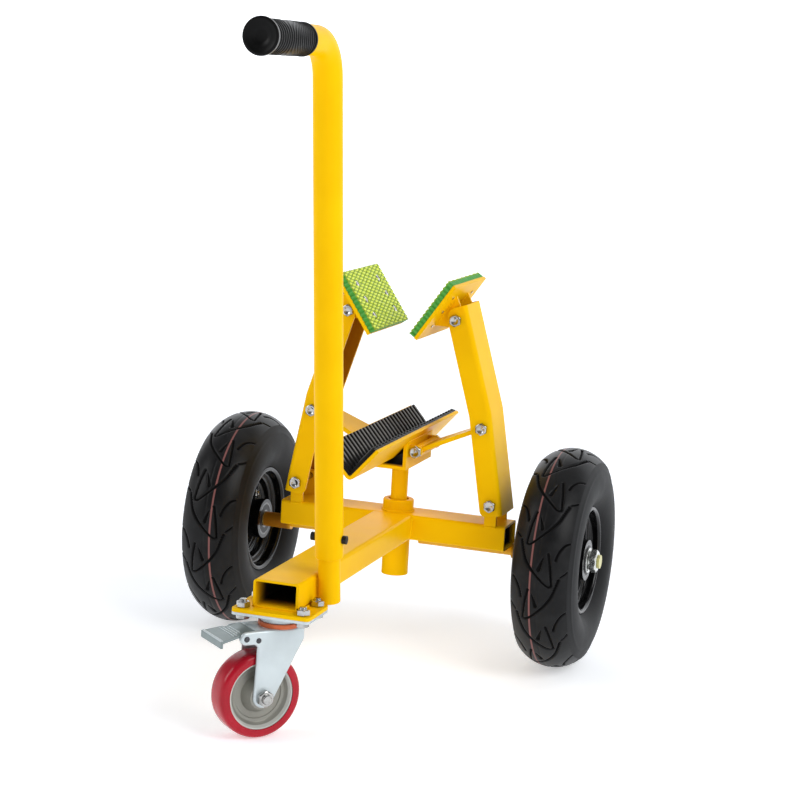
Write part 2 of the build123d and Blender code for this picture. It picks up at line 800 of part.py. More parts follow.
def pedal_pin():
    pin = rod_y(pedal_pin_reach, pedal_pin_z, pedal_pin_diameter / 2, -fork_outside, fork_outside)
    for front in (-fork_outside - pedal_pin_head, fork_outside):
        pin += rod_y(pedal_pin_reach, pedal_pin_z, pedal_pin_head_diameter / 2, front, front + pedal_pin_head)
    return place_caster * pin


# Post that carries the shoe
def shoe_post():
    return rod_z(0, 0, post_diameter / 2, post_foot_top, bracket_bottom)


def post_foot():
    return rod_z(0, 0, sleeve_bore / 2 - running_gap, post_foot_bottom, post_foot_top)


def spring_rod():
    return rod_z(0, 0, spring_rod_diameter / 2, sleeve_bottom - spring_rod_show, post_foot_bottom)


# Shoe
wing = (cos(radians(wing_slope)), sin(radians(wing_slope)))
wing_normal = (-wing[1], wing[0])
valley_inside = (0, valley_z + shoe_sheet / wing[0])
shoe_front = -shoe_length / 2 - shoe_forward
shoe_back = shoe_length / 2 - shoe_forward


def shoe_plate():
    """The folded V that the panel's edge stands in."""
    tip_outside = moved((0, valley_z), wing, wing_length)
    tip_inside = moved(tip_outside, wing_normal, shoe_sheet)
    points = [
        (0, valley_z),
        tip_outside,
        tip_inside,
        valley_inside,
        (-tip_inside[0], tip_inside[1]),
        (-tip_outside[0], tip_outside[1]),
    ]
    edge = shoe_sheet / 5
    outer_fold = shoe_fold_radius + shoe_sheet
    outline = rounded_outline(points, [outer_fold, edge, edge, shoe_fold_radius, edge, edge])
    return prism_y(outline, shoe_front, shoe_back)


def shoe_mat():
    """The right ribbed mat: a comb outline along the shoe, carried up the wing."""
    start = shoe_fold_radius * tan(radians(wing_slope))
    length = wing_length - shoe_sheet * tan(radians(wing_slope)) - mat_margin - start
    foot = moved(valley_inside, wing, start)
    pitch = shoe_length / mat_rib_count
    points = [(shoe_back, 0), (shoe_front, 0)]
    for rib in range(mat_rib_count):
        groove = shoe_front + rib * pitch
        rib_start = groove + pitch - mat_rib_width
        points += [(groove, mat_base), (rib_start, mat_base)]
        points += [(rib_start, mat_base + mat_rib_height), (groove + pitch, mat_base + mat_rib_height)]
    comb_plane = Plane(
        origin=(foot[0], 0, foot[1]),
        x_dir=(0, 1, 0),
        z_dir=(wing[0], 0, wing[1]),
    )
    mat = comb_plane * extrude(make_face(Polyline(*points, close=True)), length, dir=(0, 0, 1))
    half_space = Box(bracket_width, 2 * shoe_length, 2 * bracket_bottom)
    return mat - Pos(end_gap - bracket_width / 2, 0, bracket_bottom) * half_space


def shoe_bracket():
    """The channel under the V with four ears for the link pins."""
    height = link_pin[1] - bracket_bottom + wing_length
    middle = bracket_bottom + height / 2
    bracket = Pos(0, 0, middle) * Box(bracket_width, bracket_length, height)
    inside = bracket_width - 2 * bracket_sheet
    bracket -= Pos(0, 0, middle + bracket_sheet) * Box(inside, bracket_length, height)
    far = moved((0, valley_z), wing, 2 * height)
    above = Polygon((0, valley_z), far, (-far[0], far[1]), align=None)
    bracket -= prism_y(above, -bracket_length, bracket_length)
    wall = bracket_width / 2
    ear = Polygon(
        (wall - bracket_sheet / 2, link_pin[1] - ear_radius),
        (link_pin[0], link_pin[1] - ear_radius),
        (link_pin[0], link_pin[1] + ear_radius),
        (wall - bracket_sheet / 2, link_pin[1] + ear_radius),
        align=None,
    )
    ear += Pos(*link_pin) * Circle(ear_radius)
    ear -= Pos(*link_pin) * Circle(bolt_diameter / 2 + running_gap)
    inner = ear_spread / 2 + side_gap
    for front in (-inner - ear_sheet, inner):
        plate = prism_y(ear, front, front + ear_sheet)
        bracket += plate
        bracket += other_side(plate)
    return bracket


def shoe_link_fasteners():
    outer = ear_spread / 2 + side_gap + ear_sheet
    pieces = bolt_and_nut_y(*link_pin, -outer, outer)
    return group(pieces + [other_side(piece) for piece in pieces])


# Links
def link():
    """The right link: a tapering plate with a barrel at the shoe and a barrel in the arm."""
    run = (link_bolt[0] - link_pin[0], link_bolt[1] - link_pin[1])
    length = hypot(*run)
    along = (run[0] / length, run[1] / length)
    plane = Plane(
        origin=(link_pin[0], 0, link_pin[1]),
        x_dir=(along[0], 0, along[1]),
        z_dir=(-along[1], 0, along[0]),
    )
    wide = ear_spread / 2
    narrow = arm_inside - side_gap
    half = [(0, wide), (link_taper_start, wide), (length - link_taper_end, narrow), (length, narrow)]
    points = half + [(x, -y) for x, y in reversed(half)]
    plate = plane * extrude(Polygon(*points, align=None), link_sheet / 2, both=True)
    plate += rod_y(*link_pin, link_barrel_diameter / 2, -wide, wide)
    plate += rod_y(*link_bolt, link_barrel_diameter / 2, -narrow, narrow)
    plate -= rod_y(*link_pin, bolt_diameter / 2 + running_gap, -wide, wide)
    return plate - rod_y(*link_bolt, bolt_diameter / 2 + open_pivot_gap, -narrow, narrow)


# Arms
lower_length = hypot(link_bolt_in, link_bolt_up)
lower_up = (-link_bolt_in / lower_length, link_bolt_up / lower_length)
lower_out = (lower_up[1], -lower_up[0])
upper_up = (-sin(radians(arm_upper_lean)), cos(radians(arm_upper_lean)))
upper_out = (upper_up[1], -upper_up[0])
bend_share = 1 + lower_out[0] * upper_out[0] + lower_out[1] * upper_out[1]
bend_out = ((lower_out[0] + upper_out[0]) / bend_share, (lower_out[1] + upper_out[1]) / bend_share)
web_foot = moved(moved(arm_pivot, lower_out, bolt_to_web), lower_up, -arm_foot)
web_bend = moved(moved(arm_pivot, lower_out, bolt_to_web), lower_up, lower_length + bend_past_link_bolt)
bend_to_pad_bolt = (pad_bolt[0] - web_bend[0], pad_bolt[1] - web_bend[1])
upper_length = bend_to_pad_bolt[0] * upper_up[0] + bend_to_pad_bolt[1] * upper_up[1] + arm_head
web_head = moved(web_bend, upper_up, upper_length)


def is_web_fold(edge):
    """Whether an edge of the arm runs along the outside of its web."""
    middle = edge @ 0.5
    below = (middle.X - web_foot[0]) * lower_out[0] + (middle.Z - web_foot[1]) * lower_out[1]
    above = (middle.X - web_head[0]) * upper_out[0] + (middle.Z - web_head[1]) * upper_out[1]
    return abs(abs(middle.Y) - arm_width / 2) < seat_gap and min(abs(below), abs(above)) < side_gap


def arm():
    """The right arm: a channel folded from sheet, its web outside and bent inward above the link bolt."""
    inner_head = moved(web_head, upper_out, -arm_flange)
    inner_bend = moved(web_bend, bend_out, -arm_flange)
    inner_foot = moved(web_foot, lower_out, -arm_flange)
    points = [web_foot, web_bend, web_head, inner_head, inner_bend, inner_foot]
    radii = [0, arm_bend_radius, 0, arm_head_radius, arm_bend_radius - arm_flange, arm_foot_radius]
    channel = prism_y(rounded_outline(points, radii), -arm_width / 2, arm_width / 2)
    channel = fillet([edge for edge in channel.edges() if is_web_fold(edge)], arm_fold_radius)
    reach = arm_flange + bolt_to_web
    hollow = [
        moved(moved(web_foot, lower_out, -arm_sheet), lower_up, -reach),
        moved(web_bend, bend_out, -arm_sheet),
        moved(moved(web_head, upper_out, -arm_sheet), upper_up, reach),
        moved(moved(web_head, upper_out, -arm_sheet - reach), upper_up, reach),
        moved(web_bend, bend_out, -arm_sheet - reach),
        moved(moved(web_foot, lower_out, -arm_sheet - reach), lower_up, -reach),
    ]
    hollow_radii = [0, arm_bend_radius - arm_sheet, 0, 0, 0, 0]
    channel -= prism_y(rounded_outline(hollow, hollow_radii), -arm_inside, arm_inside)
    for bolt in (arm_pivot, link_bolt, pad_bolt):
        channel -= rod_y(*bolt, bolt_diameter / 2 + running_gap, -arm_width, arm_width)
    return channel


def arm_fasteners():
    pieces = []
    for bolt in (arm_pivot, link_bolt, pad_bolt):
        pieces += bolt_and_nut_y(*bolt, -arm_width / 2, arm_width / 2)
    return group(pieces)


# Pads, drawn about the pad bolt with X up the pad and Z towards the panel
pad_tilt_angle = radians(pad_tilt)
place_pad = Plane(
    origin=(pad_bolt[0], 0, pad_bolt[1]),
    x_dir=(sin(pad_tilt_angle), 0, cos(pad_tilt_angle)),
    z_dir=(-cos(pad_tilt_angle), 0, sin(pad_tilt_angle)),
)
rubber_back = pad_standoff + pad_plate_sheet
pad_face = rubber_back + pad_rubber_sheet
screw_head_top = pad_face - pad_screw_recess
screw_head_bottom = screw_head_top - pad_screw_head
pad_screw_lines = (-pad_screw_columns / 2, pad_screw_columns / 2)
pad_screw_places = [(row * pad_screw_rows, y) for row in (-1, 0, 1) for y in pad_screw_lines]


def pad_slab(bottom, top):
    """A flat slab of the pad's size with the screws' shank holes."""
    slab = Pos(0, 0, (bottom + top) / 2) * Box(pad_height, pad_length, top - bottom)
    for x, y in pad_screw_places:
        slab -= rod_z(x, y, pad_screw_diameter / 2 + running_gap, bottom, top)
    return slab


def pad_plate():
    """The steel plate behind the rubber, with two ears for the pad bolt."""
    low = (-pad_ear_base / 2, pad_standoff)
    high = (pad_ear_base / 2, pad_standoff)
    touch = tangent_point(high, (0, 0), pad_ear_radius, -1)
    outline = Polygon(low, high, touch, (-touch[0], touch[1]), align=None)
    outline += Circle(pad_ear_radius)
    outline -= Circle(bolt_diameter / 2 + running_gap)
    outer = arm_inside - side_gap
    plate = pad_slab(pad_standoff, rubber_back)
    plate += prism_y(outline, outer - pad_ear_sheet, outer)
    plate += prism_y(outline, -outer, pad_ear_sheet - outer)
    return place_pad * plate


def pad_rubber():
    rubber = pad_slab(rubber_back, pad_face)
    for x, y in pad_screw_places:
        rubber -= rod_z(x, y, pad_screw_head_diameter / 2 + end_gap, screw_head_bottom, pad_face)
    return place_pad * rubber


def pad_screws():
    pieces = []
    for x, y in pad_screw_places:
        screw = rod_z(x, y, pad_screw_diameter / 2, pad_standoff - pad_screw_tip, screw_head_bottom)
        screw += rod_z(x, y, pad_screw_head_diameter / 2, screw_head_bottom, screw_head_top)
        pieces.append(screw)
    return place_pad * group(pieces)


# All pieces by name; those of the left side mirror the right
pieces = {
    "cross_tube": cross_tube(),
    "drawbar": drawbar(),
    "post_sleeve": post_sleeve(),
    "sleeve_collar": sleeve_collar(),
    "sleeve_cap": sleeve_cap(),
    "guide_bush": guide_bush(),
    "return_spring": return_spring(),
    "arm_lugs": arm_lugs(),
    "axle": axle(),
    "axle_fasteners": axle_fasteners(),
    "handle_spigot": handle_spigot(),
    "handle_tube": handle_tube(),
    "handle_grip": handle_grip(),
    "handle_clamp_screws": handle_clamp_screws(),
    "caster_mount_plate": caster_plate(caster_top, tube_bottom),
    "caster_plate_fasteners": caster_plate_fasteners(),
    "caster_top_plate": caster_top_plate(),
    "caster_kingpin": caster_kingpin(),
    "caster_fork": caster_fork(),
    "swivel_seal": swivel_seal(),
    "caster_axle": caster_axle(),
    "caster_tread": caster_tread(),
    "caster_core": caster_core(),
    "brake_pedal": brake_pedal(),
    "pedal_pin": pedal_pin(),
    "shoe_post": shoe_post(),
    "post_foot": post_foot(),
    "spring_rod": spring_rod(),
    "shoe_bracket": shoe_bracket(),
    "shoe_plate": shoe_plate(),
    "shoe_link_fasteners": shoe_link_fasteners(),
}
paired = {
    "tyre": tyre(),
    "inner_tube": inner_tube(),
    "rim_outer_half": rim_outer_half(),
    "rim_inner_half": place_wheel * other_side(rim_half()),
    "hub": hub(),
    "wheel_bearings": wheel_bearings(),
    "rim_bolts": rim_bolts(),
    "arm": arm(),
    "arm_fasteners": arm_fasteners(),
    "link": link(),
    "pad_plate": pad_plate(),
    "pad_rubber": pad_rubber(),
    "pad_screws": pad_screws(),
    "shoe_mat": shoe_mat(),
}
for name, piece in paired.items():
    pieces["right_" + name] = piece
    pieces["left_" + name] = other_side(piece)

# The origin is on the floor at the middle of the whole
boxes = [piece.bounding_box() for piece in pieces.values()]
front_reach = min(box.min.Y for box in boxes)
rear_reach = max(box.max.Y for box in boxes)
to_centre = Pos(0, -(front_reach + rear_reach) / 2, 0)

os.makedirs("parts", exist_ok=True)
for name, piece in pieces.items():
    export_step(to_centre * piece, f"parts/{name}.step")
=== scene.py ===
import json
import bmesh
import bpy
import numpy as np
from mathutils import Matrix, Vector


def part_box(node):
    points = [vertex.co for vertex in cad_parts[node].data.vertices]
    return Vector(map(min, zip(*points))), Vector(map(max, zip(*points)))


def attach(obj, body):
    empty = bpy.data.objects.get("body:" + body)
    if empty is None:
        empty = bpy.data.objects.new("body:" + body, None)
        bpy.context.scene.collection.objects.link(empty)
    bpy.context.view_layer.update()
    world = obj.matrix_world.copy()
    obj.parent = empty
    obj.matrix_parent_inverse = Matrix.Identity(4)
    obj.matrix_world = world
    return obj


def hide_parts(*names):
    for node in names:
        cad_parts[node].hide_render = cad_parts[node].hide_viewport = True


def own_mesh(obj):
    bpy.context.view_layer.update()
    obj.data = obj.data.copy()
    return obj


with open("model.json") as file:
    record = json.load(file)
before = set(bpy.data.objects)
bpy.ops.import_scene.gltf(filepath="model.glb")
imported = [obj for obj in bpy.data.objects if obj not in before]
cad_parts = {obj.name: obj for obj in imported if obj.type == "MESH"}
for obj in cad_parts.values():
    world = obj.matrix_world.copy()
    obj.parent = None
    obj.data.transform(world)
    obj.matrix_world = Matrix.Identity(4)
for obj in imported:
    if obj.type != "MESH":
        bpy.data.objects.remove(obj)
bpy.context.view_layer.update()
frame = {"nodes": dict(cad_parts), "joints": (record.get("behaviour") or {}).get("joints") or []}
node = frame["nodes"]


# Cross tube and drawbar: rolled steel box section, butted as a T, welded and powder coated yellow.
# The coat shows only a little way into the open ends, and further in the hollow is painted near black:
# painted shade.
class Socket:
    """A shader socket. Arithmetic on it adds Math nodes, and add() makes any other node."""

    def __init__(self, tree, link):
        self.tree = tree
        self.link = link

    def add(self, kind, settings=None, sockets=None, output=0):
        """A new node: its settings are set first, then values or links go to its sockets."""
        made = self.tree.nodes.new("ShaderNode" + kind)
        for key, value in (settings or {}).items():
            setattr(made, key, value)
        for key, value in (sockets or {}).items():
            if isinstance(value, Socket):
                self.tree.links.new(value.link, made.inputs[key])
            else:
                made.inputs[key].default_value = value
        return Socket(self.tree, made.outputs[output])

    def math(self, operation, first, second=0.0):
        """A Math node on two numbers or sockets."""
        return self.add("Math", {"operation": operation}, {0: first, 1: second})

    def __add__(self, other):
        return self.math("ADD", self, other)

    def __radd__(self, other):
        return self.math("ADD", other, self)

    def __sub__(self, other):
        return self.math("SUBTRACT", self, other)

    def __rsub__(self, other):
        return self.math("SUBTRACT", other, self)

    def __mul__(self, other):
        return self.math("MULTIPLY", self, other)

    def __rmul__(self, other):
        return self.math("MULTIPLY", other, self)

    def __pow__(self, other):
        return self.math("POWER", self, other)

    def __abs__(self):
        return self.math("ABSOLUTE", self)

    def sine(self):
        return self.math("SINE", self)

    def parts(self):
        """The three numbers of a vector."""
        return [self.add("SeparateXYZ", {}, {0: self}, axis) for axis in range(3)]

    def length(self):
        """How long a vector is."""
        return self.add("VectorMath", {"operation": "LENGTH"}, {0: self}, 1)

    def away(self, point):
        """The vector to here from a fixed point."""
        return self.add("VectorMath", {"operation": "SUBTRACT"}, {0: self, 1: tuple(point)})

    def along(self, way):
        """How far a vector reaches in a fixed direction."""
        return self.add("VectorMath", {"operation": "DOT_PRODUCT"}, {0: self, 1: tuple(way)}, 1)

    def rise(self, low, high):
        """0 below low and 1 above high, smooth between."""
        settings = {"interpolation_type": "SMOOTHSTEP"}
        return self.add("MapRange", settings, {"Value": self, "From Min": low, "From Max": high})

    def mix(self, first, second):
        """The first colour where this is 0, and the second where it is 1."""
        colours = [(*c, 1) if isinstance(c, tuple) else c for c in (first, second)]
        return self.add("Mix", {"data_type": "RGBA"}, {0: self, 6: colours[0], 7: colours[1]}, 2)

    def noise(self, scale, detail=2.0):
        """Cloudy noise about 0.5, its features 1 / scale millimetres wide."""
        return self.add("TexNoise", {}, {"Vector": self, "Scale": scale, "Detail": detail})

    def bump(self, height, depth, edge=0.0):
        """A normal from a height, with depth in millimetres; edge rounds the look of sharp corners."""
        sockets = {"Height": height, "Distance": depth * 0.001, "Strength": 1.0}
        if edge:
            sockets["Normal"] = self.add("Bevel", {"samples": 4}, {"Radius": edge * 0.001})
        return self.add("Bump", {}, sockets)


def new_finish(name, **fixed):
    """A material with fixed shader values, its shader, and the piece's coordinates in millimetres."""
    material = bpy.data.materials.new(name)
    material.use_nodes = True
    tree = material.node_tree
    shader = tree.nodes["Principled BSDF"]
    for key, value in fixed.items():
        shader.inputs[key.replace("_", " ")].default_value = value
    metres = Socket(tree, tree.nodes.new("ShaderNodeTexCoord").outputs["Object"])
    place = metres.add("VectorMath", {"operation": "SCALE"}, {0: metres, "Scale": 1000.0})
    return material, shader, place


def feed(shader, **varying):
    """Links what changes over the surface to the shader."""
    for key, value in varying.items():
        value.tree.links.new(value.link, shader.inputs[key.replace("_", " ")])


def wear(names, material):
    """Puts a finish on CAD nodes."""
    for name in names:
        node[name].data.materials.clear()
        node[name].data.materials.append(material)


coat_deep, coat_pale = (0.90, 0.50, 0.001), (0.94, 0.55, 0.0015)
# Near-black colour used as painted shade in hollows and channels.
shade_black = (0.018, 0.014, 0.011)


def yellow_coat(name, shade_where=None, below=shade_black):
    """Yellow powder coat with a fine orange peel. Where the optional mask gives 1, the coat is painted over
    with the given dark colour: painted shade, and rougher there."""
    material, shader, place = new_finish(name, IOR=1.1)
    colour = place.noise(0.012, 3).rise(0.3, 0.7).mix(coat_deep, coat_pale)
    peel = place.noise(0.6, 2)
    rough = 0.26 + 0.1 * place.noise(0.05, 4)
    # Painted shade: where the mask is 1, the coat's colour gives way to the dark shade colour.
    if shade_where:
        shade_mask = shade_where(place)
        colour = shade_mask.mix(colour, below)
        rough = rough + 0.35 * shade_mask
    feed(shader, Base_Color=colour, Roughness=rough, Normal=place.bump(peel, 0.05, 1.0))
    return material


def box_of(name):
    """The low and high corners of a CAD node in millimetres."""
    return [np.array(corner) * 1000 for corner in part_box(name)]


tube_low, tube_high = box_of("cross_tube")
bar_low, bar_high = box_of("drawbar")
tube_middle = (tube_low + tube_high) / 2
tube_bottom, tube_top = tube_low[2], tube_high[2]
hollow_width, hollow_height = 45.6, 25.6
hollow_blur = 0.2
# From an open end: where the painted shade begins, and where it is full.
tube_mouth, bar_mouth = (1, 8), (0.5, 34)


def inside_section(across, up):
    """1 within the hollow of the box section, 0 on its outside."""
    in_width = 1 - abs(across).rise(hollow_width / 2 - hollow_blur, hollow_width / 2)
    in_height = 1 - abs(up - tube_middle[2]).rise(hollow_height / 2 - hollow_blur, hollow_height / 2)
    return in_width * in_height


def shade_in_cross_tube(place):
    """1 in the hollow, away from both open ends: where the coat is painted dark as shade."""
    x, y, z = place.parts()
    near_end = abs(x).rise(tube_high[0] - tube_mouth[1], tube_high[0] - tube_mouth[0])
    return inside_section(y - tube_middle[1], z) * (1 - near_end)


def shade_in_drawbar(place):
    """1 in the hollow, away from the open front end: where the coat is painted dark as shade."""
    x, y, z = place.parts()
    return inside_section(x, z) * y.rise(bar_low[1] + bar_mouth[0], bar_low[1] + bar_mouth[1])


coat = yellow_coat("yellow_powder_coat")
wear(["cross_tube"], yellow_coat("coat_cross_tube", shade_in_cross_tube))
wear(["drawbar"], yellow_coat("coat_drawbar", shade_in_drawbar))
wear(["post_sleeve", "sleeve_collar", "sleeve_cap", "arm_lugs"], coat)


# Welds of the frame: rippled beads laid around the tee, the collar, the sleeve, the lugs, the plate
# and the axle bars, all under the same coat.
def new_piece(name, grids, body, finish, stands_for=(), sharp=35):
    """One mesh of point grids in millimetres, grid[row, column], joined into quads.
    Each entry is (grid, rows close round, columns close round)."""
    points, faces, first = [], [], 0
    for grid, round_rows, round_columns in grids:
        rows, columns = grid.shape[:2]
        index = first + np.arange(rows * columns).reshape(rows, columns)
        index = np.vstack([index, index[:1]]) if round_rows else index
        index = np.hstack([index, index[:, :1]]) if round_columns else index
        quads = [index[:-1, :-1], index[1:, :-1], index[1:, 1:], index[:-1, 1:]]
        faces.append(np.stack(quads, axis=-1).reshape(-1, 4))
        points.append(grid.reshape(-1, 3))
        first += rows * columns
    mesh = bpy.data.meshes.new(name)
    mesh.from_pydata((np.concatenate(points) * 0.001).tolist(), [], np.concatenate(faces).tolist())
    work = bmesh.new()
    work.from_mesh(mesh)
    bmesh.ops.remove_doubles(work, verts=work.verts, dist=2e-6)
    bmesh.ops.recalc_face_normals(work, faces=work.faces)
    work.to_mesh(mesh)
    work.free()
    mesh.polygons.foreach_set("use_smooth", np.ones(len(mesh.polygons), bool))
    mesh.set_sharp_from_angle(angle=np.radians(sharp))
    mesh.materials.append(finish)
    piece = bpy.data.objects.new(name, mesh)
    bpy.context.scene.collection.objects.link(piece)
    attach(piece, body)
    if stands_for:
        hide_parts(*stands_for)
    return piece


def straight(start, end, step=0.8):
    """Even points from start to end, a step apart, and at least 8."""
    start, end = np.array(start, float), np.array(end, float)
    count = int(np.linalg.norm(end - start) / step + 1e-9)
    return start + np.linspace(0, 1, max(8, count))[:, None] * (end - start)


def ring(centre, radius, count=150):
    """Points of a level circle, its end on its start."""
    angle = np.linspace(0, 2 * np.pi, count)
    return np.array(centre) + radius * np.stack([np.cos(angle), np.sin(angle), 0 * angle], axis=1)


def weld_bead(path, radius, ripple=3.4):
    """A round bead along a path: radius * (0.84 + 0.16 * wave), where the wave is a rounded saw of the
    distance over ripple, with a slow wander. It is drawn to a point at both ends unless the path closes."""
    step = np.linalg.norm(np.diff(path, axis=0), axis=1)
    gone = np.concatenate([[0], np.cumsum(step)])
    along = np.gradient(path, axis=0)
    along /= np.linalg.norm(along, axis=1)[:, None]
    pick = np.where(np.abs(along[:, 2:]) < 0.9, [[0.0, 0.0, 1.0]], [[0.0, 1.0, 0.0]])
    side = np.cross(along, pick)
    side /= np.linalg.norm(side, axis=1)[:, None]
    up = np.cross(side, along)
    wave = np.abs(np.sin(np.pi * gone / ripple)) + 0.3 * np.sin(0.9 * gone + np.sin(0.37 * gone))
    closed = np.linalg.norm(path[0] - path[-1]) < 0.01
    ends = 1.0 if closed else np.sqrt(np.clip(np.minimum(gone, gone[-1] - gone) / radius, 0, 1))
    size = radius * (0.84 + 0.16 * wave) * ends
    angle = np.linspace(0, 2 * np.pi, 12, endpoint=False)
    turn = np.cos(angle)[:, None, None] * side + np.sin(angle)[:, None, None] * up
    return (path + size[None, :, None] * turn, True, False)


def seam(start, end, radius, ripple=3.4):
    """A straight bead from start to end."""
    return weld_bead(straight(start, end), radius, ripple)


post_x, post_y = 0.0, tube_middle[1]
tee_y = bar_high[1]
axle_low, axle_high = box_of("axle")
axle_y = (axle_low[1] + axle_high[1]) / 2
collar_bead_radius, sleeve_bead_radius = 18.6, 16.2
tee_half, tee_under, tee_corner = 25, 21, 3
plate_bead_x, plate_bead_front, plate_bead_back = 25.2, tee_y - 375.9, tee_y - 332.9
# Beads of the lugs: how far aside from the tube's middle line, and from where to where along it.
lug_bead_outside, lug_bead_inside = (24.7, 114, 129), (19.8, 115, 128)
axle_bead_starts, axle_bead_length, axle_bead_aside = (40, 84), 30, 4.6
axle_bead_z = tube_bottom - 1.2
frame_welds = [
    weld_bead(ring((post_x, post_y, tube_top + 0.4), collar_bead_radius), 1.7),
    weld_bead(ring((post_x, post_y, tube_bottom - 0.3), sleeve_bead_radius), 1.9),
    seam((-tee_under, tee_y, tube_bottom), (tee_under, tee_y, tube_bottom), 1.6),
]
for side in (-1, 1):
    x, low, high = tee_half * side, tube_bottom + tee_corner, tube_top - tee_corner
    frame_welds.append(seam((x, tee_y, low), (x, tee_y, high), 1.7))
    x, z = plate_bead_x * side, bar_low[2]
    frame_welds.append(seam((x, plate_bead_front, z), (x, plate_bead_back, z), 1.5))
    for edge in (-1, 1):
        off, near, far = lug_bead_outside
        y, z = post_y + off * edge, tube_top - 2
        frame_welds.append(seam((near * side, y, z), (far * side, y, z), 1.3))
        off, near, far = lug_bead_inside
        y = post_y + off * edge
        frame_welds.append(seam((near * side, y, tube_top), (far * side, y, tube_top), 1.4))
    for near in axle_bead_starts:
        far = near + axle_bead_length
        for y in (axle_y - axle_bead_aside, axle_y + axle_bead_aside):
            frame_welds.append(seam((near * side, y, axle_bead_z), (far * side, y, axle_bead_z), 1.6))
new_piece("frame_welds", frame_welds, "frame", coat)


# Inside the sleeve: a bronze guide bush around the post, and an oiled coil spring of round wire that lifts
# the post's foot again when the load is off. A dark rod from the foot runs down through the coil, and its
# tip shows below the cap.
def oiled_steel(name, colour, metal=1.0):
    """Dull machined metal with faint turning rings and stains."""
    material, shader, place = new_finish(name, Metallic=metal)
    stain = place.noise(0.12, 4)
    rings = (place.parts()[2] * 7.0).sine()
    tone = stain.rise(0.35, 0.75).mix(colour, tuple(0.6 * c for c in colour))
    feed(shader, Base_Color=tone, Roughness=0.3 + 0.25 * stain, Normal=place.bump(rings, 0.01))
    return material


def coil(low, high, turns, radius, wire):
    """A round wire along a helix about the post's axis: over t from 0 to 1 its angle is turns * t rounds
    and its height low + (high - low) * t, and a flat disc closes each end."""
    t = np.linspace(0, 1, 32 * turns + 1)
    angle = 2 * np.pi * turns * t
    out = np.stack([np.cos(angle), np.sin(angle), 0 * t], axis=-1)
    path = radius * out + np.stack([0 * t + post_x, 0 * t + post_y, low + (high - low) * t], axis=-1)
    along = np.gradient(path, axis=0)
    up = np.cross(out, along / np.linalg.norm(along, axis=1)[:, None])
    around = np.linspace(0, 2 * np.pi, 12, endpoint=False)[:, None, None]
    skin = path + wire / 2 * (np.cos(around) * out + np.sin(around) * up)
    ends = np.repeat(path[None], len(skin), axis=0)
    return (np.concatenate([ends[:, :1], skin, ends[:, -1:]], axis=1), True, False)


steel = oiled_steel("oiled_steel", (0.36, 0.35, 0.34))
wear(["post_foot"], steel)
wear(["spring_rod"], oiled_steel("dark_rod", (0.03, 0.03, 0.032), 0.5))
spring_wire, spring_radius, spring_turns = 2.2, 8.4, 7
spring_low, spring_high = box_of("return_spring")
ends = (spring_low[2] + spring_wire / 2, spring_high[2] - spring_wire / 2)
wound = coil(*ends, spring_turns, spring_radius, spring_wire)
spring = new_piece("coil_spring", [wound], "frame", steel, ["return_spring"])
slide = next(joint for joint in frame["joints"] if joint["name"] == "shoe_slide")
pressed = 1 - 1000 * slide["range_m"][1] / (spring_high[2] - spring_low[2])
foot = (0, post_y * 0.001, spring_low[2] * 0.001)
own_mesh(spring)
wear(["guide_bush"], oiled_steel("bush_bronze", (0.55, 0.36, 0.14)))


# Axles: turned steel bars welded under the cross tube. They are coated up to the wheels, the coat painted
# darker outside the tube's ends as shade, with yellow zinc on the bearing seats and the threaded ends.
axle_shade, axle_plating, axle_thread = (138, 146), (174.5, 176.5), (230, 233)
axle_coat, axle_coat_shade, axle_zinc = (0.80, 0.42, 0.002), (0.34, 0.13, 0.004), (0.58, 0.54, 0.22)
material, shader, place = new_finish("axle_bar", Specular_IOR_Level=0.3)
x = place.parts()[0]
plated = abs(x).rise(*axle_plating)
thread = (x * 4.2).sine() * abs(x).rise(*axle_thread)
tone = plated.mix(abs(x).rise(*axle_shade).mix(axle_coat, axle_coat_shade), axle_zinc)
feed(shader, Base_Color=tone, Metallic=0.9 * plated, Roughness=0.34 - 0.06 * plated)
feed(shader, Normal=place.bump(thread, 0.25))
wear(["axle"], material)


# Rims: two pressed halves bolted together on a hub tube, deep dished with a rolled lip, in gloss black
# enamel. Sealed ball bearings sit in the ends of the hub.
def turned(profile, base, axis, around=48, flats=None, closed=False):
    """A profile of (distance along the axis, radius) turned about an axis from a base point.
    With flats, each radius is cut to a hexagon: at most flats / 2 / cos(angle folded to 30 degrees)."""
    profile = np.array(profile, float)
    axis = np.array(axis, float) / np.linalg.norm(axis)
    side = np.cross(axis, (0.0, 0.0, 1.0) if abs(axis[2]) < 0.9 else (1.0, 0.0, 0.0))
    side /= np.linalg.norm(side)
    angle = np.linspace(0, 2 * np.pi, around, endpoint=False)
    circle = np.cos(angle)[:, None] * side + np.sin(angle)[:, None] * np.cross(axis, side)
    radius = np.repeat(profile[:, 1:], around, axis=1)
    if flats:
        folded = (angle + np.pi / 6) % (np.pi / 3) - np.pi / 6
        radius = np.minimum(radius, flats / 2 / np.cos(folded))
    return (np.array(base, float) + profile[:, :1, None] * axis + radius[:, :, None] * circle, closed, True)


both_sides = (("left", -1), ("right", 1))
wheel_low, wheel_high = box_of("right_tyre")
wheel_middle = (wheel_low + wheel_high) / 2


def axle_distance(place):
    """How far a point is from the road wheels' axle line."""
    y, z = place.parts()[1:]
    flat = place.add("CombineXYZ", {}, {1: y - wheel_middle[1], 2: z - wheel_middle[2]})
    return flat.length()


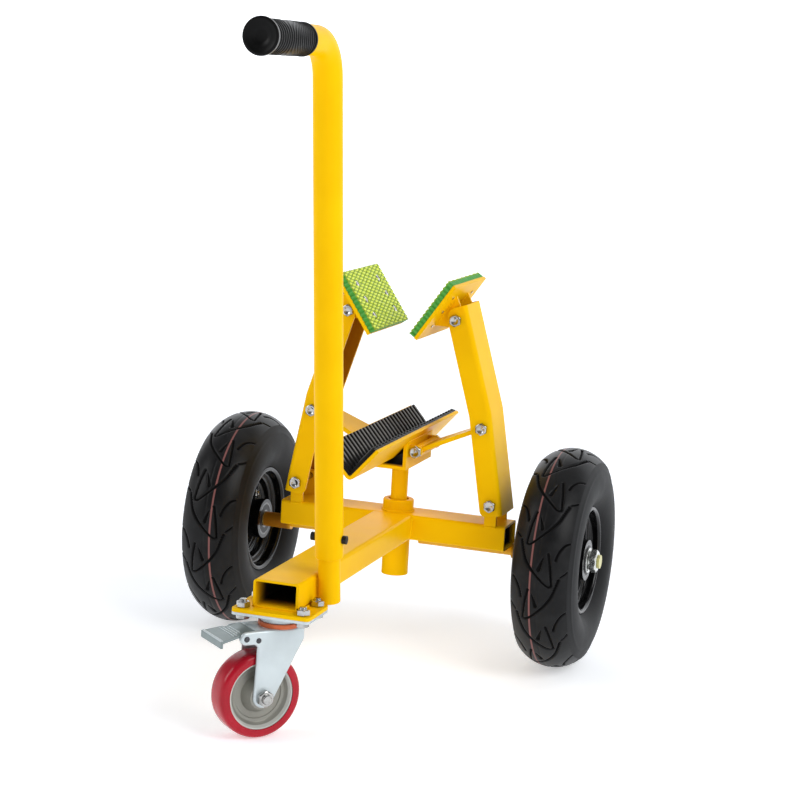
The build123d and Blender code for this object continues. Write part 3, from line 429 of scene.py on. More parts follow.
rim_sheet, lip_radius, lip_at = 2.6, 3.8, (25.7, 61.4)
rim_disc = [(0.1, 24.2), (rim_sheet, 24.2), (rim_sheet, 40.5), (3.0, 42.0), (4.2, 42.9), (5.0, 43.2)]
rim_step = [(5.6, 43.8), (5.8, 44.8), (6.2, 46.2), (7.4, 47.5), (9.2, 48.2), (12, 48.5), (14, 48.6)]
rim_seat = [(15, 49.4), (15.8, 51.5), (16.4, 54.5), (17.2, 56.4), (18.6, 57.2), (22, 57.5), (24.5, 57.6)]
t = np.radians(np.linspace(0, 190, 18))
rim_lip = np.stack([lip_at[0] + lip_radius * np.sin(t), lip_at[1] - lip_radius * np.cos(t)], axis=1)
rim_back = [(22.6, 62.4), (21, 60.2), (18, 59.4), (16, 58.2), (14.6, 56), (14, 53), (12.6, 50.8), (0.1, 50.6)]
rim_section = np.vstack([rim_disc, rim_step, rim_seat, rim_lip, rim_back])
rim_black, rim_dust = (0.0025, 0.0025, 0.0028), (0.007, 0.007, 0.0067)
material, shader, place = new_finish("black_rim_enamel", IOR=1.38)
dust = place.noise(0.08, 5).rise(0.55, 0.8)
feed(shader, Base_Color=dust.mix(rim_black, rim_dust))
feed(shader, Roughness=0.13 + 0.2 * dust, Normal=place.bump(place.noise(0.25), 0.05))
wear(["left_hub", "right_hub"], material)
for side, flip in both_sides:
    for half, way in (("outer", flip), ("inner", -flip)):
        rim = f"{side}_rim_{half}"
        dish = turned(rim_section, wheel_middle * (flip, 1, 1), (way, 0, 0), 144, closed=True)
        new_piece(rim + "_dish", [dish], side + "_wheel", material, [rim + "_half"], 50)

seal_inner, seal_outer = (10.8, 11.2), (17.4, 17.8)
seal_black, race_steel = (0.006, 0.006, 0.0065), (0.12, 0.12, 0.12)
material, shader, place = new_finish("bearing_seal")
radius = axle_distance(place)
race = radius.rise(*seal_outer) + (1 - radius.rise(*seal_inner))
feed(shader, Base_Color=race.mix(seal_black, race_steel))
feed(shader, Metallic=0.9 * race, Roughness=0.5 - 0.28 * race, Normal=place.bump((radius * 6).sine(), 0.03))
wear(["left_wheel_bearings", "right_wheel_bearings"], material)


# Inner tubes: black butyl rubber, moulded as a ring and shut in between the tyre and the rim. Only their
# valve stems are seen, inside the rims.
tube_black, tube_grey = (0.02, 0.02, 0.02), (0.035, 0.034, 0.033)
material, shader, place = new_finish("tube_rubber")
feed(shader, Base_Color=place.noise(0.1, 3).mix(tube_black, tube_grey))
feed(shader, Roughness=0.55 + 0.2 * place.noise(0.4))
wear(["left_inner_tube", "right_inner_tube"], material)


# Tyres: moulded rubber with hooked grooves, notches and shoulder cuts, nine times round, a thin red line
# on the inner side of the crown, and plain sidewalls with a moulded ring.
tyre_diameter = 260
tread_repeats, tread_pitch_columns, tread_depth = 9, 110, 2.4
tread_radius, tread_centre, tread_half = 44.72, 85.28, 36.38
tread_pitch = np.pi * tyre_diameter / tread_repeats
middle_depth, middle_half = 0.35, 0.8
other_side_shift = 0.52
# Cuts as points (millimetres across, pitches along), and the pattern with their widths at both ends.
hook = [(-25, 0.56), (-18, 0.35), (-11, 0.235), (-5, 0.16), (2, 0.085), (8, 0.025), (13, -0.01), (17, 0.0)]
barb = [(17, 0.0), (16.2, 0.08), (14, 0.245), (10.5, 0.41)]
nick = [(-38, 0.70), (-32, 0.64), (-27, 0.60)]
notch = [(5.5, 0.36), (3, 0.28), (0.8, 0.2)]
shoulder = [(-38, 0.08), (-31, 0.045), (-26, -0.01), (-22, -0.09), (-19.5, -0.18)]
tread_pattern = [
    (hook, 3.4, 1.7),
    (barb, 1.8, 2.9),
    (nick, 1.5, 1.2),
    (notch, 0.6, 4.6),
    (shoulder, 1.7, 2.7),
]


def smooth_curve(points, count=48):
    """Points of a smooth curve through a few given points: a cubic between each two, whose slope at a point
    is half the way from the point before to the point after."""
    points = np.array(points, float)
    ends = np.vstack([2 * points[0] - points[1], points, 2 * points[-1] - points[-2]])
    place = np.linspace(0, len(points) - 1.0001, count)
    span = place.astype(int)
    t = (place - span)[:, None]
    a, b, c, d = (ends[span + shift] for shift in range(4))
    return 0.5 * (2 * b + (c - a) * t + (2 * a - 5 * b + 4 * c - d) * t**2 + (3 * b - a - 3 * c + d) * t**3)


def cut_share(across, along, points, first, last):
    """1 within half a width of the curve through the points, else 0, with a soft edge 1.1 wide.
    The width goes from first to last along the curve."""
    curve = smooth_curve(points)
    half = np.linspace(first, last, len(curve)) / 2
    best = np.full(across.shape, 9.0)
    for turn in (-1, 0, 1):
        gone = (along[..., None] - curve[:, 1] - turn) * tread_pitch
        gap = np.hypot(across[..., None] - curve[:, 0], gone)
        best = np.minimum(best, (gap - half).min(axis=-1))
    return np.clip(0.5 - best / 1.1, 0, 1)


def tread_cuts(across, along):
    """How deep the tread is cut, 0 to 1: a faint line in the middle, and the same pattern on both sides,
    turned over and moved along."""
    deepest = middle_depth * np.clip(1 - np.abs(across) / middle_half, 0, 1)
    for side, shift in ((1, 0.0), (-1, other_side_shift)):
        cuts = [cut_share(side * across, along - shift, *cut) for cut in tread_pattern]
        deepest = np.maximum(deepest, np.max(cuts, axis=0))
    return deepest


def arc(centre, radius, first, last, count):
    """Points of an arc in the flat plane, between two angles in degrees."""
    angle = np.radians(np.linspace(first, last, count))
    return np.stack([centre[0] + radius * np.cos(angle), centre[1] + radius * np.sin(angle)], axis=1)


def crown(s, depth):
    """Points (x, radius) of the tread's arc at lengths s from its middle, sunk by a depth."""
    angle = np.radians(90) - s / tread_radius
    out = tread_radius - depth
    return np.stack([out * np.cos(angle), tread_centre + out * np.sin(angle)], axis=-1)


def spun(section, angle, centre, flip):
    """A section (x, radius), the same or one for each angle, turned about the axle."""
    x, radius = section[..., 0], section[..., 1]
    points = np.stack([flip * x, -radius * np.cos(angle), radius * np.sin(angle)], axis=-1)
    return (points + np.array(centre), True, True)


def tread_grid(centre, flip, start):
    """The tread: its arc moved inward by the cuts, closed by a plain arc 5 below."""
    s = np.linspace(-tread_half, tread_half, 76)
    along = np.arange(tread_pitch_columns) / tread_pitch_columns
    cut = tread_cuts(np.repeat(s[:, None], len(along), 1), np.repeat(along[None], len(s), 0))
    depth = np.tile(cut, (1, tread_repeats)) * tread_depth
    under = np.linspace(tread_half, -tread_half, 8)
    s = np.concatenate([s, under])
    depth = np.vstack([depth, np.full((len(under), depth.shape[1]), 5.0)])
    angle = start + 2 * np.pi * np.arange(depth.shape[1]) / depth.shape[1]
    return spun(crown(s[:, None], depth), angle, centre, flip)


wall_half, wall_radius = 38.5, 89.75
upper_arc, lower_arc = 60.42, 35.5
ring_height, ring_radius, ring_width = 0.5, 107, 1.5


def carcass_grid(centre, flip):
    """Sidewalls, beads and inside of the tyre, closed just under the tread: two arcs down each wall, with
    a ring of ring_height * exp(-((radius - ring_radius) / ring_width)^2) on the upper one."""
    upper = arc((wall_half - upper_arc, wall_radius), upper_arc, 25.75, 0, 18)
    upper[:, 0] += ring_height * np.exp(-(((upper[:, 1] - ring_radius) / ring_width) ** 2)) - ring_height
    lower = arc((wall_half - lower_arc, wall_radius), lower_arc, 0, -47.68, 14)[1:]
    lower[:, 0] -= np.linspace(ring_height, 0, len(lower))
    bead = [(25, 63.4), (22.4, 62.8), (20.4, 60.8), (17.6, 60), (14, 58.6), (12, 55)]
    inside = [(13, 64), (24, 78), (28, 92), (22, 107), (0, 119)]
    half = np.vstack([upper, lower, bead, inside])
    s = np.linspace(-tread_half, tread_half, 30)[1:-1]
    top = crown(s, 3.0 * np.clip((tread_half - np.abs(s)) / 3, 0, 1))
    section = np.vstack([half, half[-2::-1] * (-1, 1), top])
    angle = 2 * np.pi * np.arange(200) / 200
    return spun(np.repeat(section[:, None], len(angle), 1), angle, centre, flip)


line_offset, line_red = -8.0, (0.21, 0.085, 0.08)
rubber_black, rubber_bloom = (0.0045, 0.0047, 0.0052), (0.0095, 0.0097, 0.0103)
# Painted shade for the sunk grooves of the tread.
groove_shade_black = (0.0008, 0.0008, 0.0009)
material, shader, place = new_finish("tyre_rubber", IOR=1.27)
sideways = abs(place.parts()[0]) - wheel_middle[0]
radius = axle_distance(place)
on_tread = (1 - abs(sideways).rise(32.1, 32.6)) * radius.rise(110, 112)
plain = tread_centre + place.math("MAXIMUM", tread_radius**2 - sideways * sideways, 1.0) ** 0.5
sunk = plain - radius
# Sunk grooves are painted near black: painted shade, and they are rougher.
groove = sunk.rise(0.5, 1.5) * on_tread
line = (1 - abs(sideways - line_offset).rise(0.8, 1.3)) * (1 - sunk.rise(0.2, 0.6)) * on_tread
bloom = place.noise(0.05, 5)
rubber = line.mix(bloom.rise(0.35, 0.75).mix(rubber_black, rubber_bloom), line_red)
rings = (radius * 3.2).sine() * (1 - radius.rise(104, 108))
grain = place.noise(0.9, 3) + 0.3 * rings
feed(shader, Base_Color=groove.mix(rubber, groove_shade_black), Normal=place.bump(grain, 0.06))
feed(shader, Roughness=0.46 - 0.17 * on_tread + 0.2 * bloom + 0.4 * groove)
tread_starts = {"left": np.radians(19.0), "right": np.radians(-2.5)}
for side, flip in both_sides:
    centre = wheel_middle * (flip, 1, 1)
    tread, wall = tread_grid(centre, flip, tread_starts[side]), carcass_grid(centre, flip)
    new_piece(side + "_treaded_tyre", [tread], side + "_wheel", material, [side + "_tyre"], 60)
    new_piece(side + "_tyre_wall", [wall], side + "_wheel", material, (), 40)


# Bolts, nuts and washers: cold-headed steel in bright zinc, chamfered hexagons with a pressed dish. Four
# short bolts join the halves of each rim, and a washer and a nut hold each road wheel on its axle.
top_share, chamfer_slope = 0.9, 0.577


def hex_profile(flats, low, high, both):
    """A hexagon's profile: full to its corners, then a 30 degree chamfer to a round top face with a dish.
    With both, its lower edge has the chamfer too."""
    corner, top = flats / 2 / np.cos(np.pi / 6), flats / 2 * top_share
    radius = np.linspace(corner, top, 5)
    slope = np.stack([high - (radius - top) * chamfer_slope, radius], axis=1)
    below = [(low, 0), (low, corner)]
    if both:
        below = [(low, 0), (low, top), (low + (corner - top) * chamfer_slope, corner)]
    dish = [(high, top * 0.78), (high - 0.3, top * 0.7), (high - 1.3, top * 0.36), (high - 1.6, 0)]
    return np.vstack([below, slope, dish])


def bolt_grids(base, axis, length, shank, flats, head, nut, tip):
    """A bolt from under its head at base: head behind it, shank along the axis, nut and tip at its end.
    The tip's radius dips by 0.25 * |sin(2 pi t)|, t being the share of its length."""
    base, axis = np.array(base, float), np.array(axis, float)
    t = np.linspace(0, 0.8, 7)
    thread = np.stack([length + nut + tip * t, shank / 2 - 0.25 * np.abs(np.sin(2 * np.pi * t))], axis=1)
    end = length + nut + tip
    rod = np.vstack([[(0, 0), (0, shank / 2)], thread, [(end, shank / 2 - 0.8), (end, 0)]])
    return [
        turned(rod, base, axis, 32),
        turned(hex_profile(flats, 0, head, False), base, -axis, 48, flats),
        turned(hex_profile(flats, 0, nut, True), base + axis * length, axis, 48, flats),
    ]


# Shank, width over flats, head, nut and tip of the three sizes of bolt.
bolt_6mm, bolt_8mm, bolt_10mm = (6, 10, 4, 4, 2.5), (8, 13, 5.3, 6.5, 2.5), (10, 16, 6.5, 6.5, 3)
zinc_light, zinc_dull = (0.50, 0.50, 0.49), (0.32, 0.32, 0.31)
bright_zinc, shader, place = new_finish("bright_zinc", Metallic=1.0)
feed(shader, Base_Color=place.noise(0.11, 3).rise(0.4, 0.65).mix(zinc_light, zinc_dull))
feed(shader, Roughness=0.10 + 0.14 * place.noise(0.6, 3), Normal=place.bump(place.noise(1.2), 0.03))

nut_light, nut_dull = (0.80, 0.81, 0.79), (0.60, 0.61, 0.58)
nut_zinc, shader, place = new_finish("nut_zinc", Metallic=0.9)
feed(shader, Base_Color=place.noise(0.3, 3).mix(nut_light, nut_dull))
feed(shader, Roughness=0.16 + 0.14 * place.noise(0.9), Normal=place.bump(place.noise(1.5), 0.03))

rim_bolt_circle = 36
washer_x, axle_bore, nut_flats, nut_low, nut_high = 232, 8.2, 24, 2.8, 12.8
washer = [(0.3, axle_bore), (0.3, 14.6), (0.7, 15), (2.1, 15), (2.5, 14.6), (2.5, axle_bore)]
nut_outside = hex_profile(nut_flats, nut_low, nut_high, True)[1:-4]
axle_nut = np.vstack([[(nut_low, axle_bore)], nut_outside, [(nut_high, axle_bore)]])
axle_grids = []
for side, flip in both_sides:
    rim_bolts = []
    for angle in np.pi / 2 * (np.arange(4) + 0.5):
        spoke = (rim_sheet * flip, rim_bolt_circle * np.cos(angle), rim_bolt_circle * np.sin(angle))
        rim_bolts += bolt_grids(wheel_middle * (flip, 1, 1) + spoke, (-flip, 0, 0), 2 * rim_sheet, *bolt_6mm)
    solid = side + "_rim_bolts"
    new_piece(side + "_rim_bolt_set", rim_bolts, side + "_wheel", bright_zinc, [solid])
    base = (flip * washer_x, axle_y, wheel_middle[2])
    axle_grids.append(turned(washer, base, (flip, 0, 0), 64, closed=True))
    axle_grids.append(turned(axle_nut, base, (flip, 0, 0), 72, nut_flats, True))
new_piece("axle_nut_set", axle_grids, "frame", nut_zinc, ["axle_fasteners"])


# Handle: a bent steel tube over a spigot welded to the drawbar, held by two black clamp screws.
# The grip is a moulded black rubber sleeve with fine contour ribs, a collar and an end flange.
wear(["handle_spigot", "handle_tube"], coat)
oxide_black, oxide_grey = (0.01, 0.01, 0.011), (0.03, 0.03, 0.03)
material, shader, place = new_finish("black_oxide", Metallic=0.7)
feed(shader, Base_Color=place.noise(0.4).mix(oxide_black, oxide_grey))
feed(shader, Roughness=0.3 + 0.2 * place.noise(0.9), Normal=place.bump((place.parts()[0] * 5).sine(), 0.03))
wear(["handle_clamp_screws"], material)

handle_lean, handle_bend = np.radians([9.1, 80.0])
handle_base = np.array([36.85, post_y - 338.9, tube_bottom])
handle_up = np.array([0, -np.sin(handle_lean), np.cos(handle_lean)])
grip_axis = np.array([0, -np.sin(handle_lean + handle_bend), np.cos(handle_lean + handle_bend)])
base_to_corner, corner_to_grip = 589.24, 70.24
spigot_x, spigot_low, spigot_high = -11.25, 3, 27
spigot_beads = []
for offset in (-3.6, 3.6):
    foot = handle_base + (spigot_x, offset, 0)
    spigot_beads.append(seam(foot + spigot_low * handle_up, foot + spigot_high * handle_up, 1.8))
new_piece("spigot_weld", spigot_beads, "frame", coat)

grip_start = handle_base + base_to_corner * handle_up + corner_to_grip * grip_axis
grip_length, collar_length, flange_length = 107.0, 3.7, 4.6
grip_rib_pitch, grip_rib_height = 5.4, 0.75


def grip_grid():
    """Radius along the grip: a collar, a barrel with contour ribs, and a rounded end flange with a funnel.
    The ribs are narrow crests of how far a point is along, bent by the square of its angle's sine."""
    barrel_end = grip_length - flange_length
    collar_run = np.linspace(0, collar_length - 0.1, 10)
    barrel_run = np.linspace(collar_length + 0.1, barrel_end, 340)
    flange_run = np.linspace(barrel_end + 0.2, grip_length, 22)
    angle = np.linspace(0, 2 * np.pi, 120, endpoint=False)
    s, a = np.meshgrid(np.concatenate([collar_run, barrel_run, flange_run]), angle, indexing="ij")
    share = np.clip((s - 4) / (barrel_end - 4), 0, 1)
    barrel = 15.3 + 0.25 * share + 0.35 * np.sin(np.pi * share)
    bend = 26 * np.sin(a) ** 2 * np.exp(-(((share - 0.3) / 0.28) ** 2))
    ends = np.clip(np.minimum(s - 4, barrel_end - s) / 1.2, 0, 1)
    ribs = grip_rib_height * np.abs(np.sin(np.pi * (s + bend) / grip_rib_pitch)) ** 5 * ends
    collar = 16.4 - 0.5 * np.clip(np.abs(s - 1.8) - 1.2, 0, 1)
    run = np.clip((s - barrel_end) / flange_length, 0, 1)
    flange = 15.9 + 2.1 * np.sqrt(np.clip(1 - (2 * np.abs(run - 0.5)) ** 4, 0, 1))
    radius = np.where(s < collar_length, collar, np.where(s > barrel_end + 0.1, flange, barrel + ribs))
    funnel = [(0, 15.2), (-0.7, 14.4), (-0.9, 10.5), (-2.2, 7.4), (-3.2, 6.2), (-3.5, 5.2), (-3.5, 0.05)]
    tail = np.array(funnel + [(-3.9, 0.05), (-3.9, 15.05)]) + (grip_length, 0)
    tail = np.vstack([tail, [(0, 15.05)]])
    s = np.vstack([s, np.repeat(tail[:, :1], len(angle), 1)])
    radius = np.vstack([radius, np.repeat(tail[:, 1:], len(angle), 1)])
    side = np.array([1.0, 0, 0])
    circle = np.cos(angle)[:, None] * side + np.sin(angle)[:, None] * np.cross(grip_axis, side)
    return (grip_start + s[..., None] * grip_axis + radius[..., None] * circle, True, True)


grip_black, grip_bloom, flange_highlight_grey = (0.0016, 0.0016, 0.0016), (0.0036, 0.0036, 0.0036), (0.16, 0.16, 0.16)
material, shader, place = new_finish("grip_rubber", IOR=1.22)
offset = place.away(grip_start)
reach, length = offset.along(grip_axis), offset.length()
# The crest of the end flange is painted light grey: a painted highlight, and a little smoother there.
flange_highlight = (length * length - reach * reach).rise(17.75**2, 17.85**2)
tone = flange_highlight.mix(place.noise(0.08, 4).mix(grip_black, grip_bloom), flange_highlight_grey)
feed(shader, Base_Color=tone, Roughness=0.30 + 0.15 * place.noise(0.3, 3) - 0.1 * flange_highlight)
feed(shader, Normal=place.bump(place.noise(1.5, 2), 0.05))
new_piece("ribbed_grip", [grip_grid()], "frame", material, ["handle_grip"], 50)


# Caster plates: the coated plate welded under the drawbar, and the zinc top plate with its race,
# bolted together at the four corners.
def zinc_sheet(name, colour, rough, metal):
    """Blue zinc plate on pressed sheet: a cloudy tone and fine drawing lines."""
    material, shader, place = new_finish(name, Metallic=metal)
    cloud = place.noise(0.03, 4)
    feed(shader, Base_Color=cloud.rise(0.3, 0.7).mix(colour, tuple(0.88 * c for c in colour)))
    feed(shader, Roughness=rough + 0.14 * cloud, Normal=place.bump(place.noise(0.3, 2), 0.03, 0.8))
    return material


fork_zinc = zinc_sheet("fork_zinc", (0.62, 0.69, 0.71), 0.26, 0.4)
wear(["caster_top_plate", "caster_kingpin", "caster_fork"], fork_zinc)
wear(["caster_mount_plate"], coat)
seal_low, seal_high = box_of("swivel_seal")
swivel_y = (seal_low[1] + seal_high[1]) / 2
plate_thickness, plate_hole_x, plate_hole_y = 7, 33, 21
plate_grids = []
for x in (-plate_hole_x, plate_hole_x):
    for y in (swivel_y - plate_hole_y, swivel_y + plate_hole_y):
        under = (x, y, bar_low[2] - plate_thickness)
        plate_grids += bolt_grids(under, (0, 0, 1), plate_thickness, *bolt_8mm)
new_piece("plate_bolt_set", plate_grids, "frame", bright_zinc, ["caster_plate_fasteners"])


# Swivel: a fork folded from zinc sheet, with an orange seal ring above it. Two rivets and the pedal's pin
# cross it near the top, and the wheel's axle bolt at its foot.
seal_deep, seal_pale = (0.62, 0.10, 0.02), (0.74, 0.16, 0.035)
material, shader, place = new_finish("seal_orange")
feed(shader, Base_Color=place.noise(0.2, 3).mix(seal_deep, seal_pale))
feed(shader, Roughness=0.34 + 0.15 * place.noise(0.6), Normal=place.bump(place.noise(0.7), 0.05, 0.8))
wear(["swivel_seal"], material)

swivel_turn = np.radians(227.4)
trail_way = np.array([np.cos(swivel_turn), np.sin(swivel_turn), 0])
axle_way = np.array([-np.sin(swivel_turn), np.cos(swivel_turn), 0])
caster_trail, caster_radius = 24, 46
fork_outside = 20.5
fork_top = bar_low[2] - 18.7
rivet_reach, rivet_z = 33, fork_top - 9.9
pin_reach, pin_z = 46.5, fork_top - 7.5
pin_radius = 2.9


def on_fork(reach, across, height):
    """A point of the caster: reach along its trail, across it, and height above the floor."""
    return reach * trail_way + across * axle_way + np.array([0, swivel_y, height])


bolt_start = on_fork(caster_trail, -fork_outside, caster_radius)
axle_bolt = bolt_grids(bolt_start, axle_way, 2 * fork_outside, *bolt_10mm)
new_piece("caster_axle_bolt", axle_bolt, "caster_swivel", bright_zinc, ["caster_axle"])
dark_rivet = oiled_steel("dark_rivet", (0.09, 0.09, 0.1))
dome = [(0, pin_radius), (0.5, pin_radius), (1.0, 2.4), (1.4, 1.5), (1.5, 0)]
rivets, pins = [], []
for side in (-1, 1):
    rivet_at = on_fork(rivet_reach, side * (fork_outside - 0.2), rivet_z)
    rivets.append(turned(dome, rivet_at, side * axle_way, 24))
    pin_at = on_fork(pin_reach, side * fork_outside, pin_z)
    pins.append(turned([(0, 0), *dome], pin_at, side * axle_way, 32))
shaft = [(0, 0), (0, pin_radius), (2 * fork_outside, pin_radius), (2 * fork_outside, 0)]
pins.append(turned(shaft, on_fork(pin_reach, -fork_outside, pin_z), axle_way, 32))
new_piece("fork_rivets", rivets, "caster_swivel", dark_rivet)
new_piece("pedal_pin_set", pins, "caster_swivel", dark_rivet, ["pedal_pin"])


# Caster wheel: a crimson polyurethane tread cast on a grey core, which is turned with stepped rings and
# has a pale lip. It runs on the axle bolt of the fork.
wheel_hub = on_fork(caster_trail, 0, caster_radius)
tread_edge = [(-15, 36), (-15, 40.8), (-14.6, 42.6), (-13.4, 44.2), (-11.4, 45.3), (-8.5, 45.8), (-4, 46)]
tread_face = tread_edge + [(0, 46)] + [(-s, r) for s, r in tread_edge[::-1]]
red_deep, red_pale = (0.38, 0.004, 0.016), (0.46, 0.006, 0.022)
material, shader, place = new_finish("caster_polyurethane", IOR=1.33, Coat_Weight=0.12, Coat_Roughness=0.06)
feed(shader, Base_Color=place.noise(0.03, 3).rise(0.3, 0.7).mix(red_deep, red_pale))
feed(shader, Roughness=0.16 + 0.14 * place.noise(0.15, 4), Normal=place.bump(place.noise(0.2, 2), 0.05))
cast = turned(tread_face, wheel_hub, axle_way, 128)
new_piece("caster_red_tread", [cast], "caster_wheel", material, ["caster_tread"], 50)

core_rim = [(14, 36), (14, 34.6), (13.4, 34.2), (12.6, 33.6), (11.4, 32.8), (7.5, 30.6), (6.6, 29.4)]
core_web = [(6.3, 26.5), (5.2, 25.8), (5.0, 19.5), (6.0, 18.9), (7.2, 18.4)]
core_boss = [(12.5, 15.6), (14.5, 14.6), (16.6, 13.8), (17, 13.0), (17, 5.1)]
core_side = core_rim + core_web + core_boss
core_profile = core_side[::-1] + [(-s, r) for s, r in core_side]
core_grey, lip_pale = (0.29, 0.285, 0.25), (0.62, 0.62, 0.58)
material, shader, place = new_finish("caster_core_grey", Metallic=0.35)
radius = place.away(wheel_hub).length()
feed(shader, Base_Color=radius.rise(33.6, 34.4).mix(core_grey, lip_pale))
feed(shader, Roughness=0.36 + 0.1 * place.noise(0.2), Normal=place.bump((radius * 5.0).sine(), 0.03))
core = turned(core_profile, wheel_hub, axle_way, 96)
new_piece("caster_grey_core", [core], "caster_wheel", material, ["caster_core"], 30)


# Brake pedal: pressed zinc sheet on the fork's pin, with ridges for the boot across it near the fork
# and a rolled tip.
wear(["brake_pedal"], zinc_sheet("pedal_zinc", (0.24, 0.29, 0.29), 0.3, 0.5))
pedal_slope = np.tan(np.radians(10.5))
pedal_rise = 6.5


def across_pedal(reach, half, radius, ripple):
    """A bead across the pedal's sloping top: reach from the swivel, and half its width."""
    top = pin_z + pedal_rise - (reach - pin_reach) * pedal_slope
    return seam(on_fork(reach, -half, top), on_fork(reach, half, top), radius, ripple)


ridge_places = ((51.5, 13), (54.5, 13), (57.5, 18), (60.5, 18))
ridges = [across_pedal(reach, half, 0.8, 60) for reach, half in ridge_places]
rolled_tip = across_pedal(75.9, 24.3, 1.5, 90)
new_piece("pedal_ridges", ridges + [rolled_tip], "brake", fork_zinc)


# Shoe: a steel post that slides in the sleeve, with a channel bracket and a folded V plate welded on top,
# all coated. Bolts through the bracket's ears carry the links.
bracket_bottom = box_of("shoe_bracket")[0][2]
wing_slope = np.radians(49)
wing_way = np.array([np.cos(wing_slope), np.sin(wing_slope)])
link_inner = np.array([30, tube_top + 80])
ear_outside = 39.5


def shade_under_shoe(place):
    """1 inside the channel below the V, where the coat is painted dark as shade."""
    x, y, z = place.parts()
    under = 1 - (z - np.tan(wing_slope) * abs(x)).rise(tube_top + 68, tube_top + 70)
    within = (1 - abs(x).rise(18.1, 18.5)) * z.rise(bracket_bottom + 3.5, bracket_bottom + 3.9)
    return under * within * (1 - abs(y - post_y).rise(36, 48))


wear(["shoe_post"], coat)
wear(["shoe_bracket", "shoe_plate"], yellow_coat("coat_shoe", shade_under_shoe))
ear_bead_x, ear_bead_y, ear_bead_low, ear_bead_high = 22.2, 34.6, tube_top + 74, tube_top + 86
wing_bead_x, wing_bead_half, wing_bead_z = 22.4, 48, tube_top + 91.4
shoe_welds = [weld_bead(ring((post_x, post_y, bracket_bottom - 0.2), 10.2), 1.5)]
for side in (-1, 1):
    x = ear_bead_x * side
    for y in (post_y - ear_bead_y, post_y + ear_bead_y):
        shoe_welds.append(seam((x, y, ear_bead_low), (x, y, ear_bead_high), 1.2, 2.6))
    x = wing_bead_x * side
    start, end = (x, post_y - wing_bead_half, wing_bead_z), (x, post_y + wing_bead_half, wing_bead_z)
    shoe_welds.append(seam(start, end, 1.2))
new_piece("shoe_welds", shoe_welds, "shoe", coat)
pin_grids = []
for side in (-1, 1):
    at = (side * link_inner[0], post_y - ear_outside, link_inner[1])
    pin_grids += bolt_grids(at, (0, 1, 0), 2 * ear_outside, *bolt_8mm)
new_piece("link_pin_set", pin_grids, "shoe", bright_zinc, ["shoe_link_fasteners"])


# Mats: moulded black rubber sheets glued into the V, with rounded ribs down the slope that the panel's
# edge rests on. The crests are painted grey in patches: a painted highlight.
def relief_slab(across, along, height, put):
    """A closed slab: a height field over a rectangle, a flat back at height 0 and walls between.
    put(across, along, height) gives the points."""
    a, b = np.meshgrid(across, along, indexing="ij")
    flat = 0 * height
    grids = [(put(a, b, height), False, False), (put(a, b, flat), False, False)]
    for edge in ((0, slice(None)), (-1, slice(None)), (slice(None), 0), (slice(None), -1)):
        wall = put(np.stack([a[edge]] * 2), np.stack([b[edge]] * 2), np.stack([height[edge], flat[edge]]))
        grids.append((wall, False, False))
    return grids


def for_side(grids, flip):
    """Grids of the right side as they are, or turned over to the left where flip is -1."""
    return [(points * (flip, 1, 1), *closed) for points, *closed in grids]


mat_front, mat_length, mat_ribs = post_y - 187, 310, 28
mat_sheet, rib_height, rib_flat, rib_round = 3.0, 2.5, 1.1, 1.5
vee_z, mat_start = tube_top + 72.097, 2.3007
mat_along = mat_front + np.linspace(0, mat_length, mat_ribs * 26 + 1)
# A rib is level within rib_flat of its middle, and then falls as a quarter ellipse over rib_round.
rib_place = ((mat_along - mat_front) / mat_length * mat_ribs) % 1
rib_gap = np.abs(rib_place - 0.5) * mat_length / mat_ribs
rib_rise = np.sqrt(1 - np.clip((rib_gap - rib_flat) / rib_round, 0, 1) ** 2)
mat_up = np.array([0, 0.4, 1.2, 20, 40.2, 41.2, 41.6])
end_drop = np.array([0.75, 0.93, 1, 1, 1, 0.93, 0.75])
mat_height = (mat_sheet + rib_height * rib_rise[None]) * end_drop[:, None]


def on_wing(up, y, height):
    """A point of the right mat: up the wing's slope, along y, and height above the plate."""
    x = wing_way[0] * (up + mat_start) - wing_way[1] * height
    z = vee_z + wing_way[1] * (up + mat_start) + wing_way[0] * height
    return np.stack([np.maximum(x, 0.3), y, z], axis=-1)


mat_black, crest_highlight_grey = (0.002, 0.002, 0.002), (0.17, 0.165, 0.155)
material, shader, place = new_finish("mat_rubber", IOR=1.25)
patch_noise = place.noise(0.06, 5)
x, y, z = place.parts()
lift = z * wing_way[0] - abs(x) * wing_way[1] - wing_way[0] * vee_z
# Painted highlight: the rib tops are lighter grey, in patches.
crest_highlight = lift.rise(4.7, 5.4) * (0.7 + 0.6 * patch_noise)
feed(shader, Base_Color=crest_highlight.mix(mat_black, crest_highlight_grey))
feed(shader, Roughness=0.36 + 0.2 * patch_noise, Normal=place.bump(place.noise(0.8, 3), 0.06))
mat = relief_slab(mat_up, mat_along, mat_height, on_wing)
for side, flip in both_sides:
    solid = side + "_shoe_mat"
    new_piece(side + "_ribbed_mat", for_side(mat, flip), "shoe", material, [solid], 40)


# Clamp arms and links: folded channels and tapered plates with welded barrels, all coated, on
# hexagon pivot bolts. Inside the channels the coat is painted a darker brown: painted shade.
arm_foot = np.array([121.5, tube_top + 24])
link_outer = np.array([105.5, tube_top + 114])
pad_pivot = np.array([66.0, tube_top + 238])
arm_outside = 29.5
# Brown painted shade for the insides of the channels.
channel_shade_brown = (0.42, 0.16, 0.003)


def shade_in_channel(place):
    """1 inside a folded channel, where the coat is painted a darker brown as shade: between its sides and not
    facing outward.
    """
    x, y = place.parts()[:2]
    outward = place.add("TexCoord", {}, {}, "Normal").parts()[0] * place.math("SIGN", x)
    return (1 - abs(y - post_y).rise(26.2, 26.6)) * (1 - outward.rise(0.2, 0.5))


